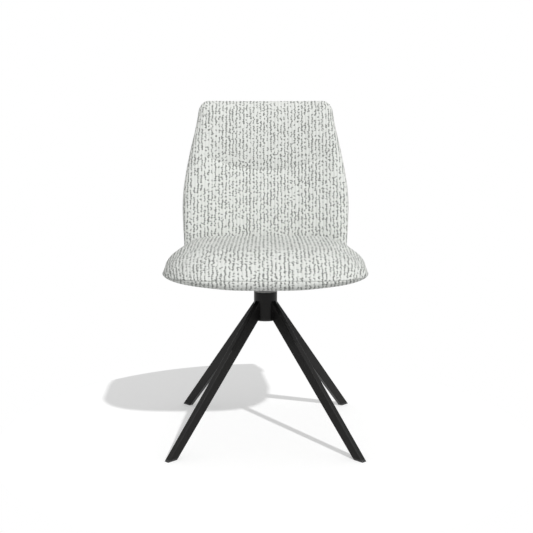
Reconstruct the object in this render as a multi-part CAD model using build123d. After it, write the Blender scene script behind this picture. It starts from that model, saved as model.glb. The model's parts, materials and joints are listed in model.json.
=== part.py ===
from build123d import *
from functools import cache
import math
import os

# Swivel dining chair: an upholstered seat and back that turn on a four-legged steel base.
# Millimetres. The origin is on the swivel's axis at floor level, the sitter faces -Y, +Z is up.

# ---- Driving dimensions: base ----
HUB_RADIUS = 30.15         # outside of the tube that the legs are welded to
HUB_WALL = 2.5
HUB_BOTTOM = 298.5         # underside of the cap that closes the tube
HUB_TOP = 373.0
CAP_FLANGE = 4.0           # visible thickness of the cap under the tube
CAP_SPIGOT = 4.0           # length of the cap's spigot inside the tube
CAP_CLEARANCE = 0.15       # spigot to tube, radial
CAP_CHAMFER = 0.8

LEG_FOOT_DEPTH = 21.5      # section of the leg in its own upright plane, at floor level
LEG_HUB_DEPTH = 31.0       # the same where it meets the hub
LEG_WIDTH = 15.0
LEG_WALL = 1.5
LEG_CORNER = 2.0
LEG_INNER_CORNER = 0.4     # least corner radius inside the tube
LEG_LEAN = 41.6            # degrees from upright
LEG_REACH = 320.0          # hub axis to the leg's centreline at floor level
LEG_OVERRUN = 40.0         # length of bar past each end before it is cut
LEG_TURNS = {"front_left": 225.0, "front_right": 315.0, "rear_left": 135.0, "rear_right": 45.0}

GLIDE_THICKNESS = 4.5      # plastic foot plate under each leg
GLIDE_PLUG = 18.0          # depth of the glide's plug inside the leg
PLUG_CLEARANCE = 0.2

# ---- Driving dimensions: swivel ----
SPINDLE_RADIUS = 12.5
RUNNING_FIT = 0.06         # radial clearance of the spindle in its bushes
BUSH_LENGTH = 16.0
BUSH_CLEARANCE = 0.02      # bush to hub tube, radial
WASHER_THICKNESS = 1.0     # nylon thrust washer on the hub
WASHER_INSET = 0.5         # edge of the washer to the edge of the hub
DISC_RADIUS = 29.5         # bright disc on top of the hub
DISC_THICKNESS = 3.6
DISC_CHAMFER = 0.5
AXIAL_PLAY = 0.1           # running gap between faces that turn on each other
RETAINER_RADIUS = 17.0
RETAINER_THICKNESS = 2.5
RETAINER_BOLT_RADIUS = 5.0
RETAINER_HEAD_ACROSS = 16.0
RETAINER_HEAD_HEIGHT = 5.0
RETAINER_BOLT_DEPTH = 22.0
RETAINER_CLEARANCE = 3.0   # above the cap's spigot and the bolt's head

PLATE_SIDE = 160.0         # square plate that the seat is bolted to
PLATE_THICKNESS = 4.0
PLATE_CORNER = 14.0
PLATE_BOLT_SPACING = 124.0

# ---- Driving dimensions: fasteners ----
BOLT_RADIUS = 3.0
BOLT_HOLE_CLEARANCE = 0.25
BOLT_HEAD_ACROSS = 10.0
BOLT_HEAD_HEIGHT = 3.6
WASHER_RADIUS = 6.5
BOLT_WASHER_THICKNESS = 1.2
TEE_BARREL_RADIUS = 4.0
TEE_FLANGE_RADIUS = 9.0
TEE_FLANGE_THICKNESS = 1.4
NUT_ACROSS = 10.0
NUT_THICKNESS = 5.0

# ---- Driving dimensions: seat ----
SEAT_BOTTOM = 398.0        # flat underside of the upholstery
SEAT_TOP = 502.0           # highest point of the cushion
SEAT_HALF_WIDTH = 254.5
SEAT_FRONT = -305.8        # foremost point of the cushion
SEAT_REAR = 148.0          # rear of the cushion on the centre line, at its widest height
SEAT_REAR_NARROWING = 22.0  # how much narrower each side is at the rear
SEAT_WIDEST = -60.0        # where the sides are widest, from the hub axis
SEAT_WIDEST_SHIFT = 0.4    # how far that place follows a drawn-in front
SEAT_FRONT_TAPER = 15.0    # each side's draw from its widest place to the front corner
SEAT_FRONT_SAG = 7.0       # bow of the front edge
SEAT_FRONT_RADIUS = 1500.0
SEAT_SIDE_RADIUS = 260.0
SEAT_REAR_CORNER = 22.0
FABRIC = 2.0               # cover thickness
SOFT_GAP = 0.3             # clearance around soft pieces
SEAT_SEAM = 434.0          # height of the seam between the top and under panels, at the hub axis
SEAT_SEAM_TILT = 2.1       # degrees, higher at the front
BOARD_THICKNESS = 12.0
BOARD_MARGIN = 5.0         # board edge to the inside of the cover
DUST_THICKNESS = 0.8
DUST_OPENING_X = 220.0
DUST_OPENING_Y = 160.0
DUST_OVERLAP = 14.0
DUST_CORNER = 20.0

# ---- Driving dimensions: back ----
BACK_BOTTOM = 404.0
BACK_TOP = 873.5
BACK_HALF_WIDTH = 230.0    # widest, about two fifths of the way up
BACK_THICKNESS = 52.0
BACK_CURVE = 1070.0        # plan radius of the hollow front
BACK_FRONT_AT_BOTTOM = 146.0
BACK_FRONT_AT_TOP = 259.9
BACK_LEAN_GROWTH = 1.28    # above 1, the lean grows towards the top
BACK_EDGE = 20.0           # rounding of the side edges
BACK_END_RADIUS = 28.0     # corner radius at the top and bottom, seen from the front
BACK_END_RECESS = 22.0     # how far each face is rounded back at the top and bottom
BACK_EDGE_SHARE = 0.4      # most of a section's thickness that its edge rounding takes
BACK_STEPS = 8             # plain sections between the rounded ends
CREASE_CENTRE = 681.0      # height of the sewn line on the centre line
CREASE_END = 724.0         # height of its two ends
CREASE_HALF_WIDTH = 174.0
CREASE_RADIUS = 5.0
CREASE_DEPTH = 4.0
BACK_BOARD_THICKNESS = 10.0
BACK_BOARD_INSET = 36.0    # board edge to the edge of the pad
BACK_BOARD_DEPTH = 24.0    # front of the pad to the front of the board
BACK_BOARD_CORNER = 30.0

# ---- Driving dimensions: brackets between seat and back ----
BRACKET_SPACING = 220.0
BRACKET_WIDTH = 32.0
BRACKET_THICKNESS = 4.0
BRACKET_FOOT = 100.0       # length on the seat board
BRACKET_RISE = 90.0        # length up the back board
BRACKET_SCREW_INSET = 16.0  # end of the bracket to its outer screw
BRACKET_SCREW_PITCH = 40.0
BRACKET_GAP = 0.2          # strap to back board
SCREW_RADIUS = 2.2
SCREW_HEAD_RADIUS = 4.5
SCREW_HEAD_HEIGHT = 2.6
SCREW_LENGTH = 9.0

# ---- Places worked out from the sizes above ----
WASHER_TOP = HUB_TOP + WASHER_THICKNESS
DISC_BOTTOM = WASHER_TOP + AXIAL_PLAY
BOARD_BOTTOM = SEAT_BOTTOM + FABRIC
BOARD_TOP = BOARD_BOTTOM + BOARD_THICKNESS
DUST_BOTTOM = SEAT_BOTTOM - DUST_THICKNESS
PLATE_TOP = DUST_BOTTOM
PLATE_BOTTOM = PLATE_TOP - PLATE_THICKNESS
TUBE_BOTTOM = HUB_BOTTOM + CAP_FLANGE
HUB_BORE = HUB_RADIUS - HUB_WALL
RETAINER_BOTTOM = TUBE_BOTTOM + CAP_SPIGOT + RETAINER_HEAD_HEIGHT + RETAINER_CLEARANCE
SPINDLE_BOTTOM = RETAINER_BOTTOM + RETAINER_THICKNESS
LOWER_BUSH_BOTTOM = SPINDLE_BOTTOM + AXIAL_PLAY


# ---- Small helpers ----
def disc(radius, bottom, height):
    """An upright cylinder on the swivel's axis."""
    return Pos(0, 0, bottom) * Cylinder(radius, height, align=(Align.CENTER, Align.CENTER, Align.MIN))


def hexagon(across, bottom, height):
    """An upright hexagonal prism, across its flats."""
    return Pos(0, 0, bottom) * extrude(RegularPolygon(across / 2, 6, major_radius=False), height)


def slab(width, depth, corner, bottom, height):
    """A flat plate with rounded corners."""
    return Pos(0, 0, bottom) * extrude(RectangleRounded(width, depth, corner), height)


def square_places(spacing):
    """Four places at the corners of a square."""
    half = spacing / 2
    return [Pos(x, y, 0) for x in (-half, half) for y in (-half, half)]


# ---- Base ----
def hub_tube():
    """The welded tube that holds the bushes."""
    tube = disc(HUB_RADIUS, TUBE_BOTTOM, HUB_TOP - TUBE_BOTTOM)
    return tube - disc(HUB_BORE, TUBE_BOTTOM, HUB_TOP - TUBE_BOTTOM)


def hub_bottom_cap():
    """Plastic cap that closes the tube from below."""
    flange = disc(HUB_RADIUS, HUB_BOTTOM, CAP_FLANGE)
    flange = chamfer(flange.edges().sort_by(Axis.Z)[0], CAP_CHAMFER)
    return flange + disc(HUB_BORE - CAP_CLEARANCE, TUBE_BOTTOM, CAP_SPIGOT)


def bush(bottom):
    """Nylon bush: a thick sleeve that fills the tube's bore."""
    body = disc(HUB_BORE - BUSH_CLEARANCE, bottom, BUSH_LENGTH)
    return body - disc(SPINDLE_RADIUS + RUNNING_FIT, bottom, BUSH_LENGTH)


def upper_bush():
    """Bush at the top of the tube."""
    return bush(HUB_TOP - BUSH_LENGTH)


def lower_bush():
    """Bush above the retaining washer."""
    return bush(LOWER_BUSH_BOTTOM)


def thrust_washer():
    """Nylon ring between the tube and the turning disc."""
    ring = disc(HUB_RADIUS - WASHER_INSET, HUB_TOP, WASHER_THICKNESS)
    return ring - disc(SPINDLE_RADIUS + RUNNING_FIT, HUB_TOP, WASHER_THICKNESS)


def leg_profile(inset):
    """Side view of a bar that leans to +X and grows deeper towards the hub, drawn in by inset."""
    lean = math.radians(LEG_LEAN)
    along = Vector(-math.sin(lean), 0, math.cos(lean))
    across = Vector(math.cos(lean), 0, math.sin(lean))
    to_hub = (LEG_REACH - HUB_RADIUS) / math.sin(lean)
    growth = (LEG_HUB_DEPTH - LEG_FOOT_DEPTH) / to_hub
    corners = []
    for reach, sides in ((-LEG_OVERRUN, (-1, 1)), (to_hub + LEG_OVERRUN, (1, -1))):
        middle = Vector(LEG_REACH, 0, 0) + along * reach
        half_depth = (LEG_FOOT_DEPTH + growth * reach) / 2 - inset
        corners += [middle + across * (side * half_depth) for side in sides]
    return make_face(Polyline(corners, close=True))


def leg_bar(inset):
    """The full sloping bar with rounded edges, before it is cut to length."""
    bar = extrude(leg_profile(inset), LEG_WIDTH / 2 - inset, dir=(0, 1, 0), both=True)
    long_edges = bar.edges().sort_by(SortBy.LENGTH)[-4:]
    return fillet(long_edges, max(LEG_CORNER - inset, LEG_INNER_CORNER))


def leg_cut():
    """Everything above the glide, out of the hub tube and on the leg's own side."""
    side = Box(LEG_REACH + LEG_OVERRUN, 2 * HUB_RADIUS, HUB_TOP - GLIDE_THICKNESS,
               align=(Align.MIN, Align.CENTER, Align.MIN))
    return Pos(0, 0, GLIDE_THICKNESS) * side - disc(HUB_RADIUS, 0, HUB_TOP)


def leg(turn):
    """One hollow leg, cut level above its glide and coped round the hub tube."""
    tube = leg_bar(0) - leg_bar(LEG_WALL)
    return Rot(0, 0, turn) * (tube & leg_cut())


def floor_slice(height):
    """Everything up to a height above the floor, on the leg's own side."""
    return Box(LEG_REACH + LEG_OVERRUN, 2 * HUB_RADIUS, height, align=(Align.MIN, Align.CENTER, Align.MIN))


def glide(turn):
    """Foot plate that fills the leg's cut end, with a plug inside the tube."""
    foot = leg_bar(0) & floor_slice(GLIDE_THICKNESS)
    plug = leg_bar(LEG_WALL + PLUG_CLEARANCE) & floor_slice(GLIDE_PLUG)
    return Rot(0, 0, turn) * (foot + plug)


# ---- Swivel ----
def spindle():
    """The turned shaft that carries the seat."""
    shaft = disc(SPINDLE_RADIUS, SPINDLE_BOTTOM, PLATE_BOTTOM - SPINDLE_BOTTOM)
    return shaft - disc(RETAINER_BOLT_RADIUS, SPINDLE_BOTTOM, RETAINER_BOLT_DEPTH)


def swivel_flange():
    """Bright disc fixed on the spindle, which turns on the thrust washer."""
    ring = disc(DISC_RADIUS, DISC_BOTTOM, DISC_THICKNESS)
    ring = chamfer(ring.edges().filter_by(GeomType.CIRCLE), DISC_CHAMFER)
    return ring - disc(SPINDLE_RADIUS, DISC_BOTTOM, DISC_THICKNESS)


def retaining_washer():
    """Steel washer that keeps the spindle from lifting out."""
    ring = disc(RETAINER_RADIUS, RETAINER_BOTTOM, RETAINER_THICKNESS)
    return ring - disc(RETAINER_BOLT_RADIUS, RETAINER_BOTTOM, RETAINER_THICKNESS)


def retaining_bolt():
    """Bolt in the lower end of the spindle."""
    head = hexagon(RETAINER_HEAD_ACROSS, RETAINER_BOTTOM - RETAINER_HEAD_HEIGHT, RETAINER_HEAD_HEIGHT)
    return head + disc(RETAINER_BOLT_RADIUS, RETAINER_BOTTOM, RETAINER_THICKNESS + RETAINER_BOLT_DEPTH)


def mounting_plate():
    """Square plate welded on the spindle, bolted under the seat board."""
    plate = slab(PLATE_SIDE, PLATE_SIDE, PLATE_CORNER, PLATE_BOTTOM, PLATE_THICKNESS)
    for place in square_places(PLATE_BOLT_SPACING):
        plate -= place * disc(BOLT_RADIUS + BOLT_HOLE_CLEARANCE, PLATE_BOTTOM, PLATE_THICKNESS)
    return plate


def mounting_bolts():
    """Four hexagon bolts, up through the plate into the tee nuts."""
    head_top = PLATE_BOTTOM - BOLT_WASHER_THICKNESS
    head = hexagon(BOLT_HEAD_ACROSS, head_top - BOLT_HEAD_HEIGHT, BOLT_HEAD_HEIGHT)
    bolt = head + disc(BOLT_RADIUS, head_top, BOARD_TOP - head_top)
    return Compound([place * bolt for place in square_places(PLATE_BOLT_SPACING)])


def mounting_washers():
    """Washers under the heads of the mounting bolts."""
    bottom = PLATE_BOTTOM - BOLT_WASHER_THICKNESS
    washer = disc(WASHER_RADIUS, bottom, BOLT_WASHER_THICKNESS)
    washer -= disc(BOLT_RADIUS + BOLT_HOLE_CLEARANCE, bottom, BOLT_WASHER_THICKNESS)
    return Compound([place * washer for place in square_places(PLATE_BOLT_SPACING)])


def tee_nut_body():
    """One tee nut: a barrel in the board and a flange on top of it."""
    body = disc(TEE_BARREL_RADIUS, BOARD_BOTTOM, BOARD_THICKNESS)
    body += disc(TEE_FLANGE_RADIUS, BOARD_TOP, TEE_FLANGE_THICKNESS)
    return body


def tee_nuts():
    """Threaded inserts in the seat board."""
    nut = tee_nut_body() - disc(BOLT_RADIUS, BOARD_BOTTOM, BOARD_THICKNESS + TEE_FLANGE_THICKNESS)
    return Compound([place * nut for place in square_places(PLATE_BOLT_SPACING)])


# ---- Seat cushion ----
# One row for each level, from the bottom up: the share of the way from the bottom to the top,
# the tilt in degrees, how far the outline is drawn in at the sides, at the front and at the
# rear from the widest outline, and the front corners' radius as a share of the shorter of the
# half width and the way from the front to the widest place.
SEAT_LEVELS = [
    (0.000, 0.0, 82.0, 160.0, 16.0, 0.79),
    (0.060, 0.0, 70.0, 120.0, 9.0, 0.82),
    (0.150, 0.2, 50.0, 68.0, 4.0, 0.78),
    (0.270, 0.7, 24.0, 20.0, 1.5, 0.75),
    (0.400, 1.8, 6.0, 3.0, 0.2, 0.67),
    (0.560, 2.5, 0.0, 0.0, 0.0, 0.54),
    (0.720, 2.3, 8.5, 4.0, 2.0, 0.47),
    (0.850, 1.4, 28.0, 17.0, 6.0, 0.45),
    (0.940, 0.5, 54.0, 39.0, 13.0, 0.44),
    (0.985, 0.1, 87.0, 74.0, 26.0, 0.43),
    (1.000, 0.0, 128.0, 124.0, 48.0, 0.43),
]


def rounded_outline(corners):
    """A closed outline of lines joined by tangent arcs, from corners given as (x, y, radius)."""
    count = len(corners)
    starts = []
    arcs = []
    for i, (x, y, radius) in enumerate(corners):
        corner = Vector(x, y)
        before = (Vector(*corners[i - 1][:2]) - corner).normalized()
        after = (Vector(*corners[(i + 1) % count][:2]) - corner).normalized()
        half_turn = math.radians(180 - before.get_angle(after)) / 2
        reach = radius * math.tan(half_turn)
        inward = (before + after).normalized()
        middle = corner + inward * (radius / math.cos(half_turn) - radius)
        starts.append(corner + before * reach)
        arcs.append(ThreePointArc(corner + before * reach, middle, corner + after * reach))
    lines = [Line(arc @ 1, starts[(i + 1) % count]) for i, arc in enumerate(arcs)]
    return make_face([edge for pair in zip(arcs, lines) for edge in pair])


def seat_outline(side_inset, front_inset, rear_inset, corner_share, offset):
    """Plan outline of the seat at one level."""
    widest = SEAT_WIDEST + SEAT_WIDEST_SHIFT * front_inset
    side_length = widest - SEAT_FRONT - front_inset
    corner_radius = corner_share * min(SEAT_HALF_WIDTH - side_inset, side_length) - offset
    half = SEAT_HALF_WIDTH - side_inset - offset
    front = SEAT_FRONT + front_inset + offset
    rear = SEAT_REAR - rear_inset - offset
    share = half / SEAT_HALF_WIDTH
    rear_half = half - SEAT_REAR_NARROWING * share
    rear_sag = rear_half ** 2 / (2 * BACK_CURVE)
    right = [
        (half - SEAT_FRONT_TAPER * share, front + SEAT_FRONT_SAG * share ** 2, corner_radius),
        (half, widest, SEAT_SIDE_RADIUS),
        (rear_half, rear - rear_sag, SEAT_REAR_CORNER - offset),
    ]
    left = [(-x, y, radius) for x, y, radius in reversed(right)]
    return rounded_outline([(0, front, SEAT_FRONT_RADIUS)] + right
                           + [(0, rear + rear_sag / 2, BACK_CURVE)] + left)


@cache
def seat_form(offset):
    """The whole upholstered seat, drawn in by offset on every side."""
    rise = SEAT_TOP - SEAT_BOTTOM - 2 * offset
    sections = []
    for share, tilt, side_inset, front_inset, rear_inset, corner_share in SEAT_LEVELS:
        height = SEAT_BOTTOM + offset + share * rise
        lean = math.radians(tilt)
        plane = Plane(origin=(0, 0, height), x_dir=(1, 0, 0), z_dir=(0, -math.sin(lean), math.cos(lean)))
        sections.append(plane * seat_outline(side_inset, front_inset, rear_inset, corner_share, offset))
    return loft(sections)


def seam_block():
    """Everything above the seam between the seat's top and under panels."""
    size = 4 * SEAT_HALF_WIDTH
    block = Box(size, size, size, align=(Align.CENTER, Align.CENTER, Align.MIN))
    return Pos(0, 0, SEAT_SEAM) * Rot(-SEAT_SEAM_TILT, 0, 0) * block


@cache
def seat_cover_shell():
    """Fabric skin of the seat, with the brackets' slots in its rear wall."""
    shell = seat_form(0) - seat_form(FABRIC)
    return shell - bracket_pair(SOFT_GAP)


def seat_cover_top():
    """Fabric over the top, the front and the sides, down to the seam."""
    return seat_cover_shell() & seam_block()


def dust_opening(overlap, bottom, height):
    """A rounded plate a little larger than the opening in the under panel."""
    return slab(DUST_OPENING_X + 2 * overlap, DUST_OPENING_Y + 2 * overlap, DUST_CORNER, bottom, height)


def seat_cover_under():
    """Fabric under panel below the seam, open in the middle under the board."""
    return seat_cover_shell() - seam_block() - dust_opening(0, SEAT_BOTTOM, FABRIC)


def dust_cover():
    """Black cloth that closes the under panel's opening."""
    cloth = dust_opening(DUST_OVERLAP, DUST_BOTTOM, DUST_THICKNESS)
    for place in square_places(PLATE_BOLT_SPACING):
        cloth -= place * disc(BOLT_RADIUS + BOLT_HOLE_CLEARANCE, DUST_BOTTOM, DUST_THICKNESS)
    return cloth


def board_outline():
    """Outline of the seat board, inside the cover at the bottom."""
    _, _, side_inset, front_inset, rear_inset, corner_share = SEAT_LEVELS[0]
    return seat_outline(side_inset, front_inset, rear_inset, corner_share, FABRIC + BOARD_MARGIN)


def seat_board():
    """Plywood board that carries the cushion."""
    board = Pos(0, 0, BOARD_BOTTOM) * extrude(board_outline(), BOARD_THICKNESS)
    for place in square_places(PLATE_BOLT_SPACING):
        board -= place * disc(TEE_BARREL_RADIUS, BOARD_BOTTOM, BOARD_THICKNESS)
    return board - screw_pairs(0)


def seat_foam():
    """Foam block over the board, hollowed for the hardware on the board."""
    pocket_bottom = BOARD_BOTTOM - SOFT_GAP
    foam = seat_form(FABRIC + SOFT_GAP)
    foam -= Pos(0, 0, pocket_bottom) * extrude(board_outline(), BOARD_TOP - pocket_bottom)
    for place in square_places(PLATE_BOLT_SPACING):
        foam -= place * disc(TEE_FLANGE_RADIUS + SOFT_GAP, BOARD_TOP, TEE_FLANGE_THICKNESS + SOFT_GAP)
    return foam - bracket_pair(SOFT_GAP) - screw_pairs(SOFT_GAP)


# ---- Back ----
# The back's side outline: the share of its height, and each side's inset from the widest place.
BACK_OUTLINE = [
    (0.00, 8.0),
    (0.16, 5.0),
    (0.27, 2.0),
    (0.38, 0.0),
    (0.48, 2.2),
    (0.59, 9.5),
    (0.71, 20.0),
    (0.85, 34.5),
    (1.00, 45.0),
]
END_ANGLES = [90.0, 66.0, 44.0, 22.0]


def back_front(height):
    """Y of the front face on the centre line."""
    share = max(height - BACK_BOTTOM, 0.0) / (BACK_TOP - BACK_BOTTOM)
    return BACK_FRONT_AT_BOTTOM + (BACK_FRONT_AT_TOP - BACK_FRONT_AT_BOTTOM) * share ** BACK_LEAN_GROWTH


def back_half_width(height):
    """Half width of the back at a height, without the rounded ends."""
    share = (height - BACK_BOTTOM) / (BACK_TOP - BACK_BOTTOM)
    for (low, low_inset), (high, high_inset) in zip(BACK_OUTLINE, BACK_OUTLINE[1:]):
        if share <= high:
            return BACK_HALF_WIDTH - low_inset - (high_inset - low_inset) * (share - low) / (high - low)
    return BACK_HALF_WIDTH - BACK_OUTLINE[-1][1]


def back_section(height, side_inset, recess, offset):
    """Plan section of the back: an arc band with rounded corners."""
    thickness = BACK_THICKNESS - 2 * recess - 2 * offset
    front_radius = BACK_CURVE + recess + offset
    rear_radius = front_radius + thickness
    half = back_half_width(height) - side_inset - offset
    half_angle = math.asin(half / (front_radius + thickness / 2))
    centre_y = back_front(height) - BACK_CURVE

    def at(radius, angle):
        return (radius * math.sin(angle), centre_y + radius * math.cos(angle))

    outline = [
        ThreePointArc(at(front_radius, -half_angle), at(front_radius, 0), at(front_radius, half_angle)),
        Line(at(front_radius, half_angle), at(rear_radius, half_angle)),
        ThreePointArc(at(rear_radius, half_angle), at(rear_radius, 0), at(rear_radius, -half_angle)),
        Line(at(rear_radius, -half_angle), at(front_radius, -half_angle)),
    ]
    face = make_face(outline)
    face = fillet(face.vertices(), min(BACK_EDGE - offset, BACK_EDGE_SHARE * thickness))
    return Pos(0, 0, height) * face


@cache
def back_form(offset):
    """The whole upholstered back, drawn in by offset on every side."""
    end_radius = BACK_END_RADIUS - offset
    end_recess = BACK_END_RECESS - offset
    bottom = BACK_BOTTOM + offset
    top = BACK_TOP - offset
    rows = []
    for angle in END_ANGLES:
        turn = math.radians(angle)
        rows.append((end_radius * (1 - math.sin(turn)), 1 - math.cos(turn)))
    sections = []
    for rise, draw in rows:
        sections.append(back_section(bottom + rise, end_radius * draw, end_recess * draw, offset))
    low = bottom + end_radius
    high = top - end_radius
    for step in range(BACK_STEPS + 1):
        # The plain sections stand closer together towards the rounded ends.
        share = (1 - math.cos(math.pi * step / BACK_STEPS)) / 2
        sections.append(back_section(low + (high - low) * share, 0, 0, offset))
    for rise, draw in reversed(rows):
        sections.append(back_section(top - rise, end_radius * draw, end_recess * draw, offset))
    form = loft(sections)
    return form - crease_groove(offset)


def crease_groove(offset):
    """Tool for the sewn line: a tube along an arc that dips in the middle."""
    stand_off = CREASE_RADIUS - CREASE_DEPTH
    sag = CREASE_HALF_WIDTH ** 2 / (2 * BACK_CURVE)
    end_y = back_front(CREASE_END) - sag - stand_off
    left = (-CREASE_HALF_WIDTH, end_y, CREASE_END)
    middle = (0, back_front(CREASE_CENTRE) - stand_off, CREASE_CENTRE)
    right = (CREASE_HALF_WIDTH, end_y, CREASE_END)
    path = ThreePointArc(left, middle, right)
    section = Plane(origin=path @ 0, z_dir=path % 0) * Circle(CREASE_RADIUS + offset)
    return sweep(section, path)


def lean_direction():
    """Direction of the straight board inside the back."""
    low = BACK_BOTTOM + BACK_BOARD_INSET
    high = BACK_TOP - BACK_BOARD_INSET
    return Vector(0, back_front(high) - back_front(low), high - low)


def lean_prism(near, far, half_width, bottom, top):
    """A leaning arc band, from near to far behind the pad's front, between two heights."""
    low = BACK_BOTTOM + BACK_BOARD_INSET
    lean = lean_direction()
    slope = lean.Y / lean.Z
    centre_y = back_front(low) + slope * (bottom - low) - BACK_CURVE
    near_radius = BACK_CURVE + near
    far_radius = BACK_CURVE + far
    angle = math.asin(half_width / near_radius)

    def at(radius, turn):
        return (radius * math.sin(turn), centre_y + radius * math.cos(turn), bottom)

    outline = [
        ThreePointArc(at(near_radius, -angle), at(near_radius, 0), at(near_radius, angle)),
        Line(at(near_radius, angle), at(far_radius, angle)),
        ThreePointArc(at(far_radius, angle), at(far_radius, 0), at(far_radius, -angle)),
        Line(at(far_radius, -angle), at(near_radius, -angle)),
    ]
    return extrude(make_face(outline), lean.length * (top - bottom) / lean.Z, dir=lean.normalized())


def back_board_form(grow):
    """Bent plywood board in the back, or the pocket for it."""
    band = lean_prism(BACK_BOARD_DEPTH - grow, BACK_BOARD_DEPTH + BACK_BOARD_THICKNESS + grow,
                      BACK_HALF_WIDTH, BACK_BOTTOM, BACK_TOP)
    bottom = BACK_BOTTOM + BACK_BOARD_INSET - grow
    top = BACK_TOP - BACK_BOARD_INSET + grow
    inset = BACK_BOARD_INSET - grow
    low_half = back_half_width(bottom) - inset
    high_half = back_half_width(top) - inset
    corner = BACK_BOARD_CORNER
    outline = rounded_outline([(-low_half, bottom, corner), (low_half, bottom, corner),
                               (high_half, top, corner), (-high_half, top, corner)])
    return band & extrude(Plane.XZ * outline, BACK_CURVE, both=True)


def back_board():
    """Bent plywood board that carries the back."""
    return back_board_form(0) - screw_pairs(0)


def back_foam():
    """Foam round the back board."""
    foam = back_form(FABRIC + SOFT_GAP) - back_board_form(0)
    return foam - bracket_pair(SOFT_GAP) - screw_pairs(SOFT_GAP)


@cache
def back_cover_shell():
    """Fabric skin of the back, with the brackets' slots."""
    return back_form(0) - back_form(FABRIC) - bracket_pair(SOFT_GAP)


def back_split():
    """Everything in front of the side seam of the back."""
    return lean_prism(-4 * BACK_THICKNESS, BACK_THICKNESS / 2, BACK_HALF_WIDTH + BACK_THICKNESS,
                      BACK_BOTTOM - BACK_THICKNESS, BACK_TOP + BACK_THICKNESS)


def back_cover_front():
    """Fabric on the front of the back, with its sewn line."""
    return back_cover_shell() & back_split()


def back_cover_rear():
    """Fabric on the rear of the back."""
    return back_cover_shell() - back_split()


# ---- Brackets between seat and back ----
def bracket_face(height, gap):
    """Y at which the bracket lies on the back board, on its own centre plane."""
    low = BACK_BOTTOM + BACK_BOARD_INSET
    lean = lean_direction()
    return back_front(low) + lean.Y / lean.Z * (height - low) + BACK_BOARD_DEPTH - gap


def bracket_turns():
    """The two brackets are turned about the upright axis of the back's curve."""
    angle = math.degrees(math.asin(BRACKET_SPACING / 2 / (BACK_CURVE + BACK_BOARD_DEPTH)))
    axis_y = back_front(BACK_BOTTOM + BACK_BOARD_INSET) - BACK_CURVE
    return [Pos(0, axis_y, 0) * Rot(0, 0, turn) * Pos(0, -axis_y, 0) for turn in (angle, -angle)]


def bracket_form(grow):
    """One bent steel strap on the centre plane, or the slot for it."""
    foot_low = BOARD_TOP - grow
    foot_high = BOARD_TOP + BRACKET_THICKNESS + grow
    rise_top = BACK_BOTTOM + BACK_BOARD_INSET + BRACKET_RISE + grow
    touch = BRACKET_GAP - grow
    foot_front = bracket_face(foot_low, touch) - BRACKET_FOOT - grow
    inner = BRACKET_GAP + BRACKET_THICKNESS + grow
    points = [
        (foot_front, foot_low),
        (bracket_face(foot_low, touch), foot_low),
        (bracket_face(rise_top, touch), rise_top),
        (bracket_face(rise_top, inner), rise_top),
        (bracket_face(foot_high, inner), foot_high),
        (foot_front, foot_high),
    ]
    profile = make_face(Polyline(points, close=True))
    return extrude(Plane.YZ * profile, BRACKET_WIDTH / 2 + grow, both=True)


def bracket_pair(grow):
    """Both straps, or the slots for them."""
    return [turn * bracket_form(grow) for turn in bracket_turns()]


def screw_form(grow):
    """One screw pointing down, with its head's seat at the origin, or the pocket for it."""
    shank = Pos(0, 0, -SCREW_LENGTH) * Cylinder(SCREW_RADIUS, SCREW_LENGTH,
                                               align=(Align.CENTER, Align.CENTER, Align.MIN))
    head = Cylinder(SCREW_HEAD_RADIUS + grow, SCREW_HEAD_HEIGHT + grow,
                    align=(Align.CENTER, Align.CENTER, Align.MIN))
    return shank + head


@cache
def screw_places():
    """Seats of the screws: two in each foot and two in each rise."""
    lean = lean_direction()
    slope = lean.Y / lean.Z
    foot_top = BOARD_TOP + BRACKET_THICKNESS
    foot_front = bracket_face(BOARD_TOP, BRACKET_GAP) - BRACKET_FOOT
    rise_top = BACK_BOTTOM + BACK_BOARD_INSET + BRACKET_RISE
    places = []
    for turn in bracket_turns():
        for step in range(2):
            reach = BRACKET_SCREW_INSET + step * BRACKET_SCREW_PITCH
            places.append(turn * Pos(0, foot_front + reach, foot_top))
            height = rise_top - reach
            face_y = bracket_face(height, BRACKET_GAP + BRACKET_THICKNESS)
            on_rise = Plane(origin=(0, face_y, height), x_dir=(1, 0, 0), z_dir=(0, -1, slope))
            places.append(turn * on_rise.location)
    return places


def screw_pairs(grow):
    """All the bracket screws, or their pockets."""
    return [place * screw_form(grow) for place in screw_places()]


def bracket(index):
    """One strap with its screw holes."""
    return bracket_pair(0)[index] - screw_pairs(0)


if __name__ == "__main__":
    os.makedirs("parts", exist_ok=True)
    nodes = {
        "hub_tube": hub_tube(),
        "hub_bottom_cap": hub_bottom_cap(),
        "upper_bush": upper_bush(),
        "lower_bush": lower_bush(),
        "thrust_washer": thrust_washer(),
        "spindle": spindle(),
        "swivel_flange": swivel_flange(),
        "retaining_washer": retaining_washer(),
        "retaining_bolt": retaining_bolt(),
        "mounting_plate": mounting_plate(),
        "mounting_bolts": mounting_bolts(),
        "mounting_washers": mounting_washers(),
        "tee_nuts": tee_nuts(),
        "seat_board": seat_board(),
        "seat_foam": seat_foam(),
        "seat_cover_top": seat_cover_top(),
        "seat_cover_under": seat_cover_under(),
        "dust_cover": dust_cover(),
        "back_board": back_board(),
        "back_foam": back_foam(),
        "back_cover_front": back_cover_front(),
        "back_cover_rear": back_cover_rear(),
        "back_bracket_left": bracket(0),
        "back_bracket_right": bracket(1),
        "bracket_screws": Compound([place * screw_form(0) for place in screw_places()]),
    }
    for name, turn in LEG_TURNS.items():
        nodes[f"leg_{name}"] = leg(turn)
        nodes[f"glide_{name}"] = glide(turn)
    for name, shape in nodes.items():
        export_step(shape, f"parts/{name}.step")
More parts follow.
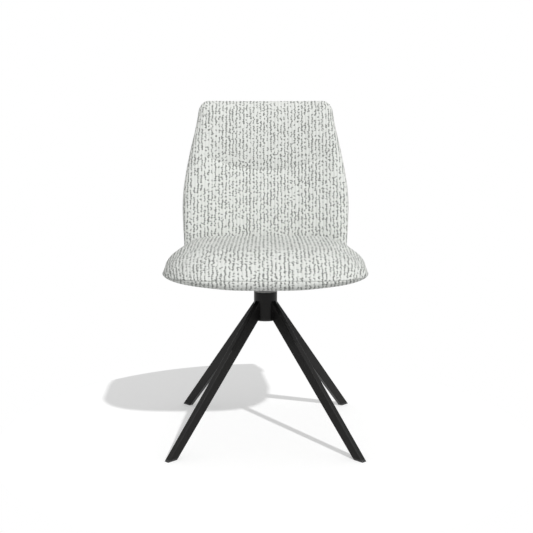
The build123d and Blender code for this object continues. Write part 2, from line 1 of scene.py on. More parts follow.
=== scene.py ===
"""Looks of the swivel dining chair: cloth cushions, powder-coated base, bright swivel parts and studio.

Lengths are in metres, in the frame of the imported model: +Z up, the sitter faces -Y, the origin is on the
swivel's axis at floor level.
"""

from __future__ import annotations

import enum
import json
import logging
import math
from dataclasses import dataclass, field

import bmesh
import bpy
import numpy as np
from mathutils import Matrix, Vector
from mathutils.bvhtree import BVHTree

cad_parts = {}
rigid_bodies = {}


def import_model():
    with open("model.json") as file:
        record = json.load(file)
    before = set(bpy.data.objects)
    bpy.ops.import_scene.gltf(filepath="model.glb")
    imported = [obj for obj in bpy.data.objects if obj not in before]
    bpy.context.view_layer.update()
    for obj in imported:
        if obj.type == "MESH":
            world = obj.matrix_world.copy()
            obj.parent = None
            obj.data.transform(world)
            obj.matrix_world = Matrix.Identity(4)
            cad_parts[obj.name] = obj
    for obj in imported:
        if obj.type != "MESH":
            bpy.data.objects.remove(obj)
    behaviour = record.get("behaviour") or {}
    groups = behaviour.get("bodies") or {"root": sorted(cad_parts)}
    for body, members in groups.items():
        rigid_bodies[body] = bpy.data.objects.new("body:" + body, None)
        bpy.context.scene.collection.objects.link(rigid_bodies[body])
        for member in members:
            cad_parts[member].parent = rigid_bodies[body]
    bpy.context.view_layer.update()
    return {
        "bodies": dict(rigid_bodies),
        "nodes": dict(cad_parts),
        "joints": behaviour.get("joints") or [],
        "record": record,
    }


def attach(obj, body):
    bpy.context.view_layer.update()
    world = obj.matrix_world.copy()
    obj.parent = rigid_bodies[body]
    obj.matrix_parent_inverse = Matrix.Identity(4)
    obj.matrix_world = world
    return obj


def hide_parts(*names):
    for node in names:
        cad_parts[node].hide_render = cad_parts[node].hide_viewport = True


LOG = logging.getLogger("dining_chair")
MM = 0.001
TINY = 1e-9
ARC_STEPS = 16
CLOTH_MAP = "cloth_m"
WHITE = (1.0, 1.0, 1.0, 1.0)

Colour = tuple[float, float, float, float]


class Body(enum.Enum):
    """Rigid bodies of the chair that pieces ride on."""

    BASE = "base"
    SEAT = "seat"


class Slot(enum.Enum):
    """Material slots of the record."""

    STEEL = "black_steel"
    ZINC = "zinc_steel"
    PLASTIC = "black_plastic"
    NYLON = "nylon"
    PLYWOOD = "plywood"
    FOAM = "foam"
    CLOTH = "upholstery"
    DUST = "dust_cloth"


# ---------------------------------------------------------------------------
# Node trees
# ---------------------------------------------------------------------------


class Value:
    """A number socket of a node tree; expressions on values add its Math nodes."""

    def __init__(self, tree: Tree, source: bpy.types.NodeSocket) -> None:
        """Wraps one socket of a tree."""
        self.tree = tree
        self.source = source

    def _math(self, operation: str, first: object, second: object = 0.0) -> Value:
        """Adds one Math node.

        Args:
            operation: Blender's name of the operation.
            first: First operand.
            second: Second operand, where there is one.

        Returns:
            The node's output.
        """
        node = self.tree.node("ShaderNodeMath", {"operation": operation}, {0: first, 1: second})
        return Value(self.tree, node.outputs[0])

    def __add__(self, other: object) -> Value:
        """Sum."""
        return self._math("ADD", self, other)

    __radd__ = __add__

    def __sub__(self, other: object) -> Value:
        """Difference."""
        return self._math("SUBTRACT", self, other)

    def __rsub__(self, other: object) -> Value:
        """Difference with the operands the other way round."""
        return self._math("SUBTRACT", other, self)

    def __mul__(self, other: object) -> Value:
        """Product."""
        return self._math("MULTIPLY", self, other)

    __rmul__ = __mul__

    def __truediv__(self, other: object) -> Value:
        """Quotient."""
        return self._math("DIVIDE", self, other)

    def __rtruediv__(self, other: object) -> Value:
        """Quotient with the operands the other way round."""
        return self._math("DIVIDE", other, self)

    def __abs__(self) -> Value:
        """Size without the sign."""
        return self._math("ABSOLUTE", self)

    def floor(self) -> Value:
        """Largest whole number not above the value."""
        return self._math("FLOOR", self)

    def fraction(self) -> Value:
        """What is left above the floor."""
        return self._math("FRACT", self)

    def sine(self) -> Value:
        """Sine of the value in radians."""
        return self._math("SINE", self)

    def at_least(self, other: object) -> Value:
        """The larger of two values."""
        return self._math("MAXIMUM", self, other)

    def step(self, start: float, end: float) -> Value:
        """Smooth step from 0 at start to 1 at end; start may be the larger.

        Args:
            start: Input that gives 0.
            end: Input that gives 1.

        Returns:
            The stepped value.
        """
        low, high = (0.0, 1.0) if start < end else (1.0, 0.0)
        inputs = {0: self, 1: min(start, end), 2: max(start, end), 3: low, 4: high}
        node = self.tree.node("ShaderNodeMapRange", {"interpolation_type": "SMOOTHSTEP"}, inputs)
        return Value(self.tree, node.outputs[0])


class Tree:
    """A node tree under construction."""

    def __init__(self, tree: bpy.types.NodeTree) -> None:
        """Takes over a tree and empties it."""
        self.tree = tree
        self.tree.nodes.clear()

    def node(
        self,
        kind: str,
        settings: dict[str, object] | None = None,
        inputs: dict[int | str, object] | None = None,
    ) -> bpy.types.Node:
        """Adds a node, sets it up and fills or links its inputs.

        Args:
            kind: Node type, such as ShaderNodeMath.
            settings: Attributes of the node, which are set first.
            inputs: Socket index or name to a number, a colour, a Value or a socket.

        Returns:
            The new node.
        """
        node = self.tree.nodes.new(kind)
        for key, setting in (settings or {}).items():
            setattr(node, key, setting)
        for key, given in (inputs or {}).items():
            source = given.source if isinstance(given, Value) else given
            if isinstance(source, bpy.types.NodeSocket):
                self.tree.links.new(source, node.inputs[key])
            else:
                node.inputs[key].default_value = source
        return node


class Shader(Tree):
    """A shader tree: a material's own, or the world's."""

    def split(self, vector: bpy.types.NodeSocket) -> tuple[Value, Value, Value]:
        """Splits a vector into its three parts."""
        node = self.node("ShaderNodeSeparateXYZ", None, {0: vector})
        return Value(self, node.outputs[0]), Value(self, node.outputs[1]), Value(self, node.outputs[2])

    def join(self, x: object, y: object, z: object = 0.0) -> bpy.types.NodeSocket:
        """Joins three values into a vector."""
        return self.node("ShaderNodeCombineXYZ", None, {0: x, 1: y, 2: z}).outputs[0]

    def place(self) -> bpy.types.NodeSocket:
        """Object coordinates, which are the chair's own metres."""
        return self.node("ShaderNodeTexCoord").outputs["Object"]

    def cloth(self) -> bpy.types.NodeSocket:
        """The piece's own cloth coordinates, in metres along the cloth."""
        return self.node("ShaderNodeUVMap", {"uv_map": CLOTH_MAP}).outputs[0]

    def noise(self, vector: object, scale: float, detail: float = 2.0, rough: float = 0.5) -> Value:
        """Noise from 0 to 1.

        Args:
            vector: Where it is read.
            scale: Features per metre.
            detail: Octaves.
            rough: Weight of the finer octaves.

        Returns:
            The noise value.
        """
        inputs = {"Vector": vector, "Scale": scale, "Detail": detail, "Roughness": rough}
        return Value(self, self.node("ShaderNodeTexNoise", {"noise_dimensions": "3D"}, inputs).outputs[0])

    def random(self, x: object, y: object) -> Value:
        """One random number from 0 to 1 for each pair of whole numbers."""
        node = self.node("ShaderNodeTexWhiteNoise", {"noise_dimensions": "2D"}, {"Vector": self.join(x, y)})
        return Value(self, node.outputs[0])

    def mix(self, factor: object, first: object, second: object) -> bpy.types.NodeSocket:
        """Blends two colours."""
        node = self.node("ShaderNodeMix", {"data_type": "RGBA"}, {0: factor, 6: first, 7: second})
        return node.outputs[2]

    def bump(self, height: Value, depth: float) -> bpy.types.NodeSocket:
        """Turns a height of 0 to 1 into a normal.

        Args:
            height: The relief.
            depth: Real depth of the relief, in metres.

        Returns:
            The bumped normal.
        """
        inputs = {"Strength": 1.0, "Distance": depth, "Height": height}
        return self.node("ShaderNodeBump", None, inputs).outputs[0]

    def surface(self, inputs: dict[int | str, object]) -> None:
        """Ends the tree in a Principled surface with the given inputs."""
        shader = self.node("ShaderNodeBsdfPrincipled", None, inputs)
        self.node("ShaderNodeOutputMaterial", None, {0: shader.outputs[0]})


def new_material(name: str) -> tuple[bpy.types.Material, Shader]:
    """Makes an empty node material.

    Args:
        name: Name of the material.

    Returns:
        The material and its shader tree.
    """
    material = bpy.data.materials.new(name)
    material.use_nodes = True
    return material, Shader(material.node_tree)


def shaded(colour: Colour, share: float) -> Colour:
    """The same colour, lighter or darker by a share."""
    return colour[0] * share, colour[1] * share, colour[2] * share, 1.0


# ---------------------------------------------------------------------------
# Finishes
# ---------------------------------------------------------------------------


@dataclass(frozen=True)
class RibbedCloth:
    """Off-white ribbed cloth whose furrows carry broken dark grey marks.

    Attributes:
        light: Colour of the ribs.
        dark: Colour of the marks.
        pitch: Distance from rib to rib.
        line_width: Width of the marks.
        wander: How far the ribs drift sideways.
        drift: Length over which they drift.
        fray: How ragged the marks' edges are, as a share of the pitch.
        fray_scale: Noise features per metre in those edges.
        jitter: How far a bead lies off its furrow.
        bead: Length of a bead along the furrow.
        dash: Length of the short gaps in a furrow's marks.
        run: Length of the long gaps.
        patch: Size of the patches in which marks are rarer.
        patch_share: How much the patches decide whether a bead shows.
        run_share: How much the long gaps decide it.
        chance_share: How much pure chance decides it.
        shown: Sum of these from which a bead starts to show, and shows in full.
        hook_row: Height of a row of hooks, as a share of the pitch.
        hook_slant: Most slant of a hook, as a share of the pitch.
        hook_chance: Random number above which a place has a hook, and has it in full.
        relief: Depth of the ribs and loops.
        loop: Height of a knitted loop.
        loop_slope: Slope of the loops' legs.
        wobble_scale: Features per metre of the noise that makes the loops uneven.
        yarn_scale: Features per metre of the yarn's fine noise.
        cloud_scale: Features per metre of the colour's slow noise.
    """

    light: Colour = (0.80, 0.815, 0.785, 1.0)
    dark: Colour = (0.105, 0.112, 0.105, 1.0)
    pitch: float = 9.6 * MM
    line_width: float = 3.7 * MM
    wander: float = 5.0 * MM
    drift: float = 18.0 * MM
    fray: float = 0.5
    fray_scale: float = 420.0
    jitter: float = 3.3 * MM
    bead: float = 5.3 * MM
    dash: float = 9.0 * MM
    run: float = 45.0 * MM
    patch: float = 55.0 * MM
    patch_share: float = 0.4
    run_share: float = 0.8
    chance_share: float = 0.75
    shown: tuple[float, float] = (0.33, 0.38)
    hook_row: float = 0.95
    hook_slant: float = 1.3
    hook_chance: tuple[float, float] = (0.66, 0.69)
    relief: float = 0.9 * MM
    loop: float = 2.6 * MM
    loop_slope: float = 0.9
    wobble_scale: float = 220.0
    yarn_scale: float = 1100.0
    cloud_scale: float = 30.0

    def build(self) -> bpy.types.Material:
        """Builds the cloth.

        Returns:
            The finished material.
        """
        material, s = new_material("ribbed_cloth")
        across, along, _ = s.split(s.cloth())
        drift = s.noise(s.join(across, along), 1.0 / self.drift, 1.0) - 0.5
        ribs = (across + drift * self.wander) / self.pitch
        rib = ribs.floor()
        sideways = (ribs.fraction() - 0.5) * self.pitch
        furrow = abs(sideways).step(0.5 * self.pitch, 0.0)
        patches = s.noise(s.join(across, along * 0.7), 1.0 / self.patch, 1.5)
        ragged = (s.noise(s.cloth(), self.fray_scale, 2.0) - 0.5) * self.fray * self.pitch
        marks = self._beads(s, rib, along, sideways + ragged, patches)
        marks = marks.at_least(self._hooks(s, across, along))

        fibre = s.noise(s.place(), self.yarn_scale, 2.0, 0.7)
        cloud = s.noise(s.place(), self.cloud_scale, 2.0)
        colour = self._colour(s, marks, furrow, fibre, cloud)
        relief = self._relief(s, along, sideways, furrow, fibre, marks)
        s.surface(
            {
                "Base Color": colour,
                "Roughness": 0.92,
                "Specular IOR Level": 0.2,
                "Normal": s.bump(relief, self.relief),
            }
        )
        return material

    def _colour(
        self, s: Shader, marks: Value, furrow: Value, fibre: Value, cloud: Value
    ) -> bpy.types.NodeSocket:
        """Colour of the cloth, with painted shade that darkens the furrows.

        Args:
            s: The shader tree.
            marks: How dark the marks are, from 0 to 1.
            furrow: 1 in the middle of a furrow, 0 on a rib.
            fibre: Fine noise of the yarn.
            cloud: Slow noise.

        Returns:
            The colour.
        """
        low, high, furrow_painted_shade = (shaded(self.light, share) for share in (0.86, 1.06, 0.55))
        painted_shade_share, least_ink, more_ink = 0.20, 0.74, 0.36
        pale = s.mix(fibre * 0.6 + cloud * 0.4, low, high)
        # Painted shade: the colour is darkened towards the middle of each furrow, where shade falls.
        pale = s.mix(furrow * painted_shade_share, pale, furrow_painted_shade)
        ink = s.mix(fibre, self.dark, shaded(self.dark, 1.9))
        return s.mix(marks * (least_ink + cloud * more_ink), pale, ink)

    def _relief(
        self, s: Shader, along: Value, sideways: Value, furrow: Value, fibre: Value, marks: Value
    ) -> Value:
        """Height of the ribs, their knitted loops and the yarn.

        Args:
            s: The shader tree.
            along: Metres along the rib.
            sideways: Metres from the furrow's middle, with their sign.
            furrow: 1 in the middle of a furrow, 0 on a rib.
            fibre: Fine noise of the yarn.
            marks: How dark the marks are, from 0 to 1.

        Returns:
            The height, about 0 to 1.
        """
        rib_height, loop_height, yarn_height, mark_depth = 0.9, 0.35, 0.45, 0.3
        wobble = s.noise(s.cloth(), self.wobble_scale, 1.0)
        chevron = (along + abs(sideways) * self.loop_slope) / self.loop + wobble * 1.1
        loops = abs(chevron.fraction() - 0.5) * 2.0
        relief = rib_height - furrow * rib_height + (1.0 - loops * loops) * loop_height
        return relief + fibre * yarn_height - marks * mark_depth

    def _beads(self, s: Shader, rib: Value, along: Value, sideways: Value, patches: Value) -> Value:
        """Dark beads that join into broken lines along the furrows.

        Args:
            s: The shader tree.
            rib: Whole number of the rib.
            along: Metres along the rib.
            sideways: Metres from the furrow's middle, with their sign.
            patches: Slow noise that thins the lines out here and there.

        Returns:
            How dark the beads are, from 0 to 1.
        """
        narrowest, spread, taper = 0.72, 0.60, 0.80
        edge_out, edge_in = -0.10 * self.line_width, 0.14 * self.line_width
        beads = along / self.bead + s.random(rib, 7.0) * 5.0
        bead = beads.floor()
        middle = (beads.fraction() - 0.5) * 2.0
        shift = s.random(rib, bead + 3.0) - 0.5
        slant = s.random(rib + 11.0, bead) - 0.5
        beside = abs(sideways + (shift + middle * slant) * self.jitter)
        width = (narrowest + s.random(rib, bead) * spread) * (1.0 - middle * middle * taper)
        line = (width * 0.5 * self.line_width - beside).step(edge_out, edge_in)
        broken = s.noise(s.join(rib * 3.7, bead * self.bead, rib * 1.3), 1.0 / self.dash, 1.0)
        runs = s.noise(s.join(rib * 5.1, along, rib * 2.3), 1.0 / self.run, 1.0)
        chance = s.random(bead, rib + 9.0) - 0.5
        shown = broken + (patches - 0.5) * self.patch_share
        shown = shown + (runs - 0.5) * self.run_share + chance * self.chance_share
        return line * shown.step(*self.shown)

    def _hooks(self, s: Shader, across: Value, along: Value) -> Value:
        """Short cross strokes that join neighbouring lines here and there.

        Args:
            s: The shader tree.
            across: Metres across the ribs.
            along: Metres along the ribs.

        Returns:
            How dark the strokes are, from 0 to 1.
        """
        edge_out, edge_in = 0.46 * self.line_width, 0.18 * self.line_width
        end_out, end_in, end_shift = 0.34, 0.24, 0.6
        row_height = self.hook_row * self.pitch
        column = (across / self.pitch).floor()
        sideways = (across / self.pitch).fraction() - 0.5
        rows = along / row_height + s.random(column, 3.0) * 7.0
        row = rows.floor()
        slant = (s.random(row, column) - 0.5) * self.hook_slant * self.pitch
        off = abs((rows.fraction() - 0.5) * row_height + sideways * slant)
        stroke = off.step(edge_out, edge_in)
        ends = sideways + s.random(row, column + 5.0) * end_shift - end_shift / 2
        ends = abs(ends).step(end_out, end_in)
        return stroke * ends * s.random(column, row).step(*self.hook_chance)


@dataclass(frozen=True)
class Thread:
    """Twisted sewing thread, with painted shade in the grooves between its plies."""

    colour: Colour = (0.42, 0.43, 0.41, 1.0)
    twist: float = 1.1 * MM
    relief: float = 0.1 * MM

    def build(self) -> bpy.types.Material:
        """Builds the thread finish.

        Returns:
            The finished material.
        """
        material, s = new_material("sewing_thread")
        x, y, z = s.split(s.place())
        plies = ((x + y + z) / self.twist * math.tau).sine() * 0.5 + 0.5
        # Painted shade: the colour is darker in the grooves between the plies.
        colour = s.mix(plies, shaded(self.colour, 0.8), self.colour)
        s.surface({"Base Color": colour, "Roughness": 0.75, "Normal": s.bump(plies, self.relief)})
        return material


@dataclass(frozen=True)
class PowderCoat:
    """Satin black powder coat with a faint orange peel."""

    colour: Colour = (0.0036, 0.0034, 0.0032, 1.0)
    worn: Colour = (0.009, 0.0086, 0.008, 1.0)
    roughness: float = 0.36
    gloss: float = 0.19
    peel: float = 0.05 * MM
    peel_scale: float = 520.0
    cloud_scale: float = 35.0
    dust_scale: float = 2400.0
    dust_limits: tuple[float, float] = (0.66, 0.78)

    def build(self) -> bpy.types.Material:
        """Builds the coat.

        Returns:
            The finished material.
        """
        material, s = new_material("satin_powder_coat")
        peel = s.noise(s.place(), self.peel_scale, 2.0)
        cloud = s.noise(s.place(), self.cloud_scale, 3.0)
        dust = s.noise(s.place(), self.dust_scale, 1.0).step(*self.dust_limits)
        s.surface(
            {
                "Base Color": s.mix(cloud * 0.5 + dust * 0.4, self.colour, self.worn),
                "Roughness": self.roughness + (cloud - 0.5) * 0.12 + dust * 0.1,
                "Specular IOR Level": self.gloss,
                "Normal": s.bump(peel, self.peel),
            }
        )
        return material


@dataclass(frozen=True)
class ZincPlate:
    """Zinc plate with the fine rings that turning leaves."""

    colour: Colour = (0.21, 0.212, 0.21, 1.0)
    roughness: float = 0.34
    ring: float = 0.45 * MM
    cloud_scale: float = 160.0
    relief: float = 0.03 * MM

    def build(self) -> bpy.types.Material:
        """Builds the plate.

        Returns:
            The finished material.
        """
        material, s = new_material("zinc_plate")
        x, y, z = s.split(s.place())
        length = s.node("ShaderNodeVectorMath", {"operation": "LENGTH"}, {0: s.join(x, y)})
        from_axis = Value(s, length.outputs[1])
        rings = ((from_axis + z) / self.ring * math.tau).sine() * 0.5 + 0.5
        cloud = s.noise(s.place(), self.cloud_scale, 3.0)
        s.surface(
            {
                "Base Color": s.mix(cloud, self.colour, shaded(self.colour, 0.78)),
                "Metallic": 1.0,
                "Roughness": self.roughness + (cloud - 0.5) * 0.18 + rings * 0.05,
                "Normal": s.bump(rings * 0.5 + cloud * 0.5, self.relief),
            }
        )
        return material


@dataclass(frozen=True)
class Moulded:
    """Moulded plastic or foam with a fine grain.

    Attributes:
        name: Name of the material.
        colour: Its colour.
        roughness: Mean roughness.
        grain: Grains per metre.
        depth: Depth of the grain.
        cloud_scale: Features per metre of the colour's slow noise.
    """

    name: str
    colour: Colour
    roughness: float = 0.5
    grain: float = 900.0
    depth: float = 0.05 * MM
    cloud_scale: float = 60.0

    def build(self) -> bpy.types.Material:
        """Builds the finish.

        Returns:
            The finished material.
        """
        material, s = new_material(self.name)
        grain = s.noise(s.place(), self.grain, 3.0, 0.6)
        cloud = s.noise(s.place(), self.cloud_scale, 2.0)
        colour = s.mix(cloud, shaded(self.colour, 0.85), shaded(self.colour, 1.15))
        rough = self.roughness + (grain - 0.5) * 0.14
        s.surface({"Base Color": colour, "Roughness": rough, "Normal": s.bump(grain, self.depth)})
        return material


BLACK_MOULDING = Moulded("black_moulding", colour=(0.012, 0.012, 0.012, 1.0), roughness=0.48)
NYLON_MOULDING = Moulded("nylon_moulding", colour=(0.66, 0.66, 0.62, 1.0), roughness=0.42)
CUT_FOAM = Moulded("cut_foam", colour=(0.80, 0.76, 0.60, 1.0), roughness=0.9, grain=350.0, depth=0.4 * MM)


@dataclass(frozen=True)
class BirchPly:
    """Birch plywood: long grain on the faces, thin plies on the edges."""

    pale: Colour = (0.74, 0.58, 0.38, 1.0)
    brown: Colour = (0.60, 0.43, 0.25, 1.0)
    ply: float = 1.5 * MM
    grain_scale: float = 6.0
    grain_across: float = 30.0
    grain_along: float = 3.0
    relief: float = 0.15 * MM

    def build(self) -> bpy.types.Material:
        """Builds the wood.

        Returns:
            The finished material.
        """
        material, s = new_material("birch_plywood")
        x, y, z = s.split(s.place())
        stretched = s.join(x * self.grain_across, y * self.grain_along, z * self.grain_across)
        grain = s.noise(stretched, self.grain_scale, 5.0, 0.6)
        plies = (z / self.ply).fraction().step(0.42, 0.58)
        colour = s.mix(grain, self.brown, self.pale)
        colour = s.mix(plies * 0.18, colour, shaded(self.brown, 0.6))
        s.surface({"Base Color": colour, "Roughness": 0.62, "Normal": s.bump(grain, self.relief)})
        return material


@dataclass(frozen=True)
class DustCloth:
    """Thin black non-woven cloth with pressed dots."""

    colour: Colour = (0.014, 0.014, 0.014, 1.0)
    dot: float = 1.6 * MM
    dot_limits: tuple[float, float] = (0.1, 0.6)
    fibre_scale: float = 1500.0
    relief: float = 0.2 * MM

    def build(self) -> bpy.types.Material:
        """Builds the cloth.

        Returns:
            The finished material.
        """
        material, s = new_material("dust_cloth")
        x, y, _ = s.split(s.place())
        waves = (x / self.dot * math.tau).sine() * (y / self.dot * math.tau).sine()
        dots = waves.step(*self.dot_limits)
        fibre = s.noise(s.place(), self.fibre_scale, 2.0)
        colour = s.mix(fibre, self.colour, shaded(self.colour, 3.5))
        normal = s.bump(fibre * 0.6 - dots * 0.5, self.relief)
        s.surface({"Base Color": colour, "Roughness": 0.9, "Normal": normal})
        return material


@dataclass
class Finishes:
    """Every finish of the chair, made once."""

    by_slot: dict[Slot, bpy.types.Material] = field(init=False)
    thread: bpy.types.Material = field(init=False)

    def __post_init__(self) -> None:
        """Makes the materials."""
        self.thread = Thread().build()
        self.by_slot = {
            Slot.CLOTH: RibbedCloth().build(),
            Slot.STEEL: PowderCoat().build(),
            Slot.ZINC: ZincPlate().build(),
            Slot.PLASTIC: BLACK_MOULDING.build(),
            Slot.NYLON: NYLON_MOULDING.build(),
            Slot.PLYWOOD: BirchPly().build(),
            Slot.FOAM: CUT_FOAM.build(),
            Slot.DUST: DustCloth().build(),
        }

    def dress_nodes(self, frame: dict) -> None:
        """Gives every CAD node the finish of its slot.
        """
        slots = {row["node"]: Slot(row["material_slot"]) for row in frame["record"]["subparts"]}
        for name, node in frame["nodes"].items():
            node.data.materials.clear()
            node.data.materials.append(self.by_slot[slots[name]])
        LOG.info("dressed %d nodes of the frame", len(frame["nodes"]))


# ---------------------------------------------------------------------------
# Meshes
# ---------------------------------------------------------------------------


def turn_outwards(mesh: bpy.types.Mesh) -> None:
    """Turns every face of a closed mesh outwards.

    Args:
        mesh: The mesh, changed in place.
    """
    work = bmesh.new()
    work.from_mesh(mesh)
    bmesh.ops.recalc_face_normals(work, faces=work.faces)
    work.to_mesh(mesh)
    work.free()


def vectors_of(rows: bpy.types.bpy_prop_collection, attribute: str) -> np.ndarray:
    """Reads one vector from every row of a mesh's data.

    Args:
        rows: The mesh's points or normals.
        attribute: Name of the vector.

    Returns:
        One row of three numbers for each.
    """
    flat = np.zeros(len(rows) * 3, dtype=np.float32)
    rows.foreach_get(attribute, flat)
    return flat.reshape(-1, 3).astype(float)


def points_of(mesh: bpy.types.Mesh) -> np.ndarray:
    """The mesh's points as an array."""
    return vectors_of(mesh.vertices, "co")


def normals_of(mesh: bpy.types.Mesh) -> np.ndarray:
    """The mesh's point normals as an array."""
    return vectors_of(mesh.vertex_normals, "vector")


def move_points(mesh: bpy.types.Mesh, points: np.ndarray) -> None:
    """Writes points back to the mesh."""
    mesh.vertices.foreach_set("co", points.astype(np.float32).ravel())
    mesh.update()


def place_piece(name: str, mesh: bpy.types.Mesh) -> bpy.types.Object:
    """Puts a mesh into the scene as a piece.

    Args:
        name: Name of the piece.
        mesh: Its mesh.

    Returns:
        The new object.
    """
    piece = bpy.data.objects.new(name, mesh)
    bpy.context.scene.collection.objects.link(piece)
    return piece


def settle(piece: bpy.types.Object) -> None:
    """Replaces a piece's mesh by its evaluated one, and removes its modifiers.

    Args:
        piece: The piece, changed in place.
    """
    graph = bpy.context.evaluated_depsgraph_get()
    graph.update()
    result = piece.evaluated_get(graph)
    mesh = bpy.data.meshes.new_from_object(result, preserve_all_data_layers=True, depsgraph=graph)
    worn = piece.data
    piece.modifiers.clear()
    piece.data = mesh
    bpy.data.meshes.remove(worn)
    mesh.name = piece.name


def subdivide(piece: bpy.types.Object) -> None:
    """Rounds a cushion with one Catmull-Clark subdivision.

    Args:
        piece: The cushion, changed in place.
    """
    smooth = piece.modifiers.new("smooth", "SUBSURF")
    smooth.levels = 1
    smooth.render_levels = 1
    smooth.uv_smooth = "PRESERVE_BOUNDARIES"
    settle(piece)


def resample(rows: np.ndarray, at: np.ndarray, want: np.ndarray) -> np.ndarray:
    """Reads a table of rows along a smooth curve through them.

    Args:
        rows: The design rows.
        at: Where each row lies along the curve.
        want: Where rows are wanted.

    Returns:
        The rows at those places.
    """
    slopes = np.gradient(rows, at, axis=0)
    index = np.clip(np.searchsorted(at, want, side="right") - 1, 0, len(at) - 2)
    span = (at[index + 1] - at[index])[:, None]
    t = (want - at[index])[:, None] / span
    start = (2 * t**3 - 3 * t**2 + 1) * rows[index] + (t**3 - 2 * t**2 + t) * span * slopes[index]
    end = (3 * t**2 - 2 * t**3) * rows[index + 1] + (t**3 - t**2) * span * slopes[index + 1]
    return start + end


def run_length(rows: np.ndarray) -> np.ndarray:
    """Distance of each row from the first, along the straight runs between them."""
    return np.concatenate([[0.0], np.cumsum(np.linalg.norm(np.diff(rows, axis=0), axis=1))])


def rounded_loop(corners: list[tuple[float, float, float]], counts: list[int]) -> np.ndarray:
    """Points round a closed outline of lines and tangent arcs, from the middle of the first arc.

    Args:
        corners: Each corner as (x, y, radius), anticlockwise.
        counts: Number of points from each arc's middle up to the next one's.

    Returns:
        One row (x, y, outward x, outward y) for each point.
    """
    points = np.array([corner[:2] for corner in corners])
    arcs = []
    for i, (_, _, radius) in enumerate(corners):
        before = points[i - 1] - points[i]
        after = points[(i + 1) % len(corners)] - points[i]
        before = before / np.linalg.norm(before)
        after = after / np.linalg.norm(after)
        half_turn = (math.pi - math.acos(float(np.clip(before @ after, -1.0, 1.0)))) / 2
        inward = (before + after) / np.linalg.norm(before + after)
        centre = points[i] + inward * radius / math.cos(half_turn)
        first = points[i] + before * radius * math.tan(half_turn) - centre
        angles = math.atan2(first[1], first[0]) + np.linspace(0.0, 2 * half_turn, ARC_STEPS + 1)
        outward = np.stack([np.cos(angles), np.sin(angles)], axis=1)
        arcs.append(np.hstack([centre + radius * outward, outward]))
    half_arc = ARC_STEPS // 2
    rows = []
    for i, count in enumerate(counts):
        path = np.vstack([arcs[i][half_arc:], arcs[(i + 1) % len(corners)][: half_arc + 1]])
        at = run_length(path[:, :2])
        want = np.linspace(0.0, at[-1], count + 1)[:-1]
        rows.append(np.stack([np.interp(want, at, path[:, k]) for k in range(4)], axis=1))
    loop = np.vstack(rows)
    loop[:, 2:] /= np.linalg.norm(loop[:, 2:], axis=1, keepdims=True)
    return loop


# ---------------------------------------------------------------------------
# Padded forms
# ---------------------------------------------------------------------------


@dataclass
class Ring:
    """One closed row of points round a padded form.

    Attributes:
        places: Place of each point.
        outward: Outward direction of each point, in the plane of the form's faces.
        held: How firmly the cloth is held there, from 0 to 1.
    """

    places: np.ndarray
    outward: np.ndarray
    held: float = 0.0


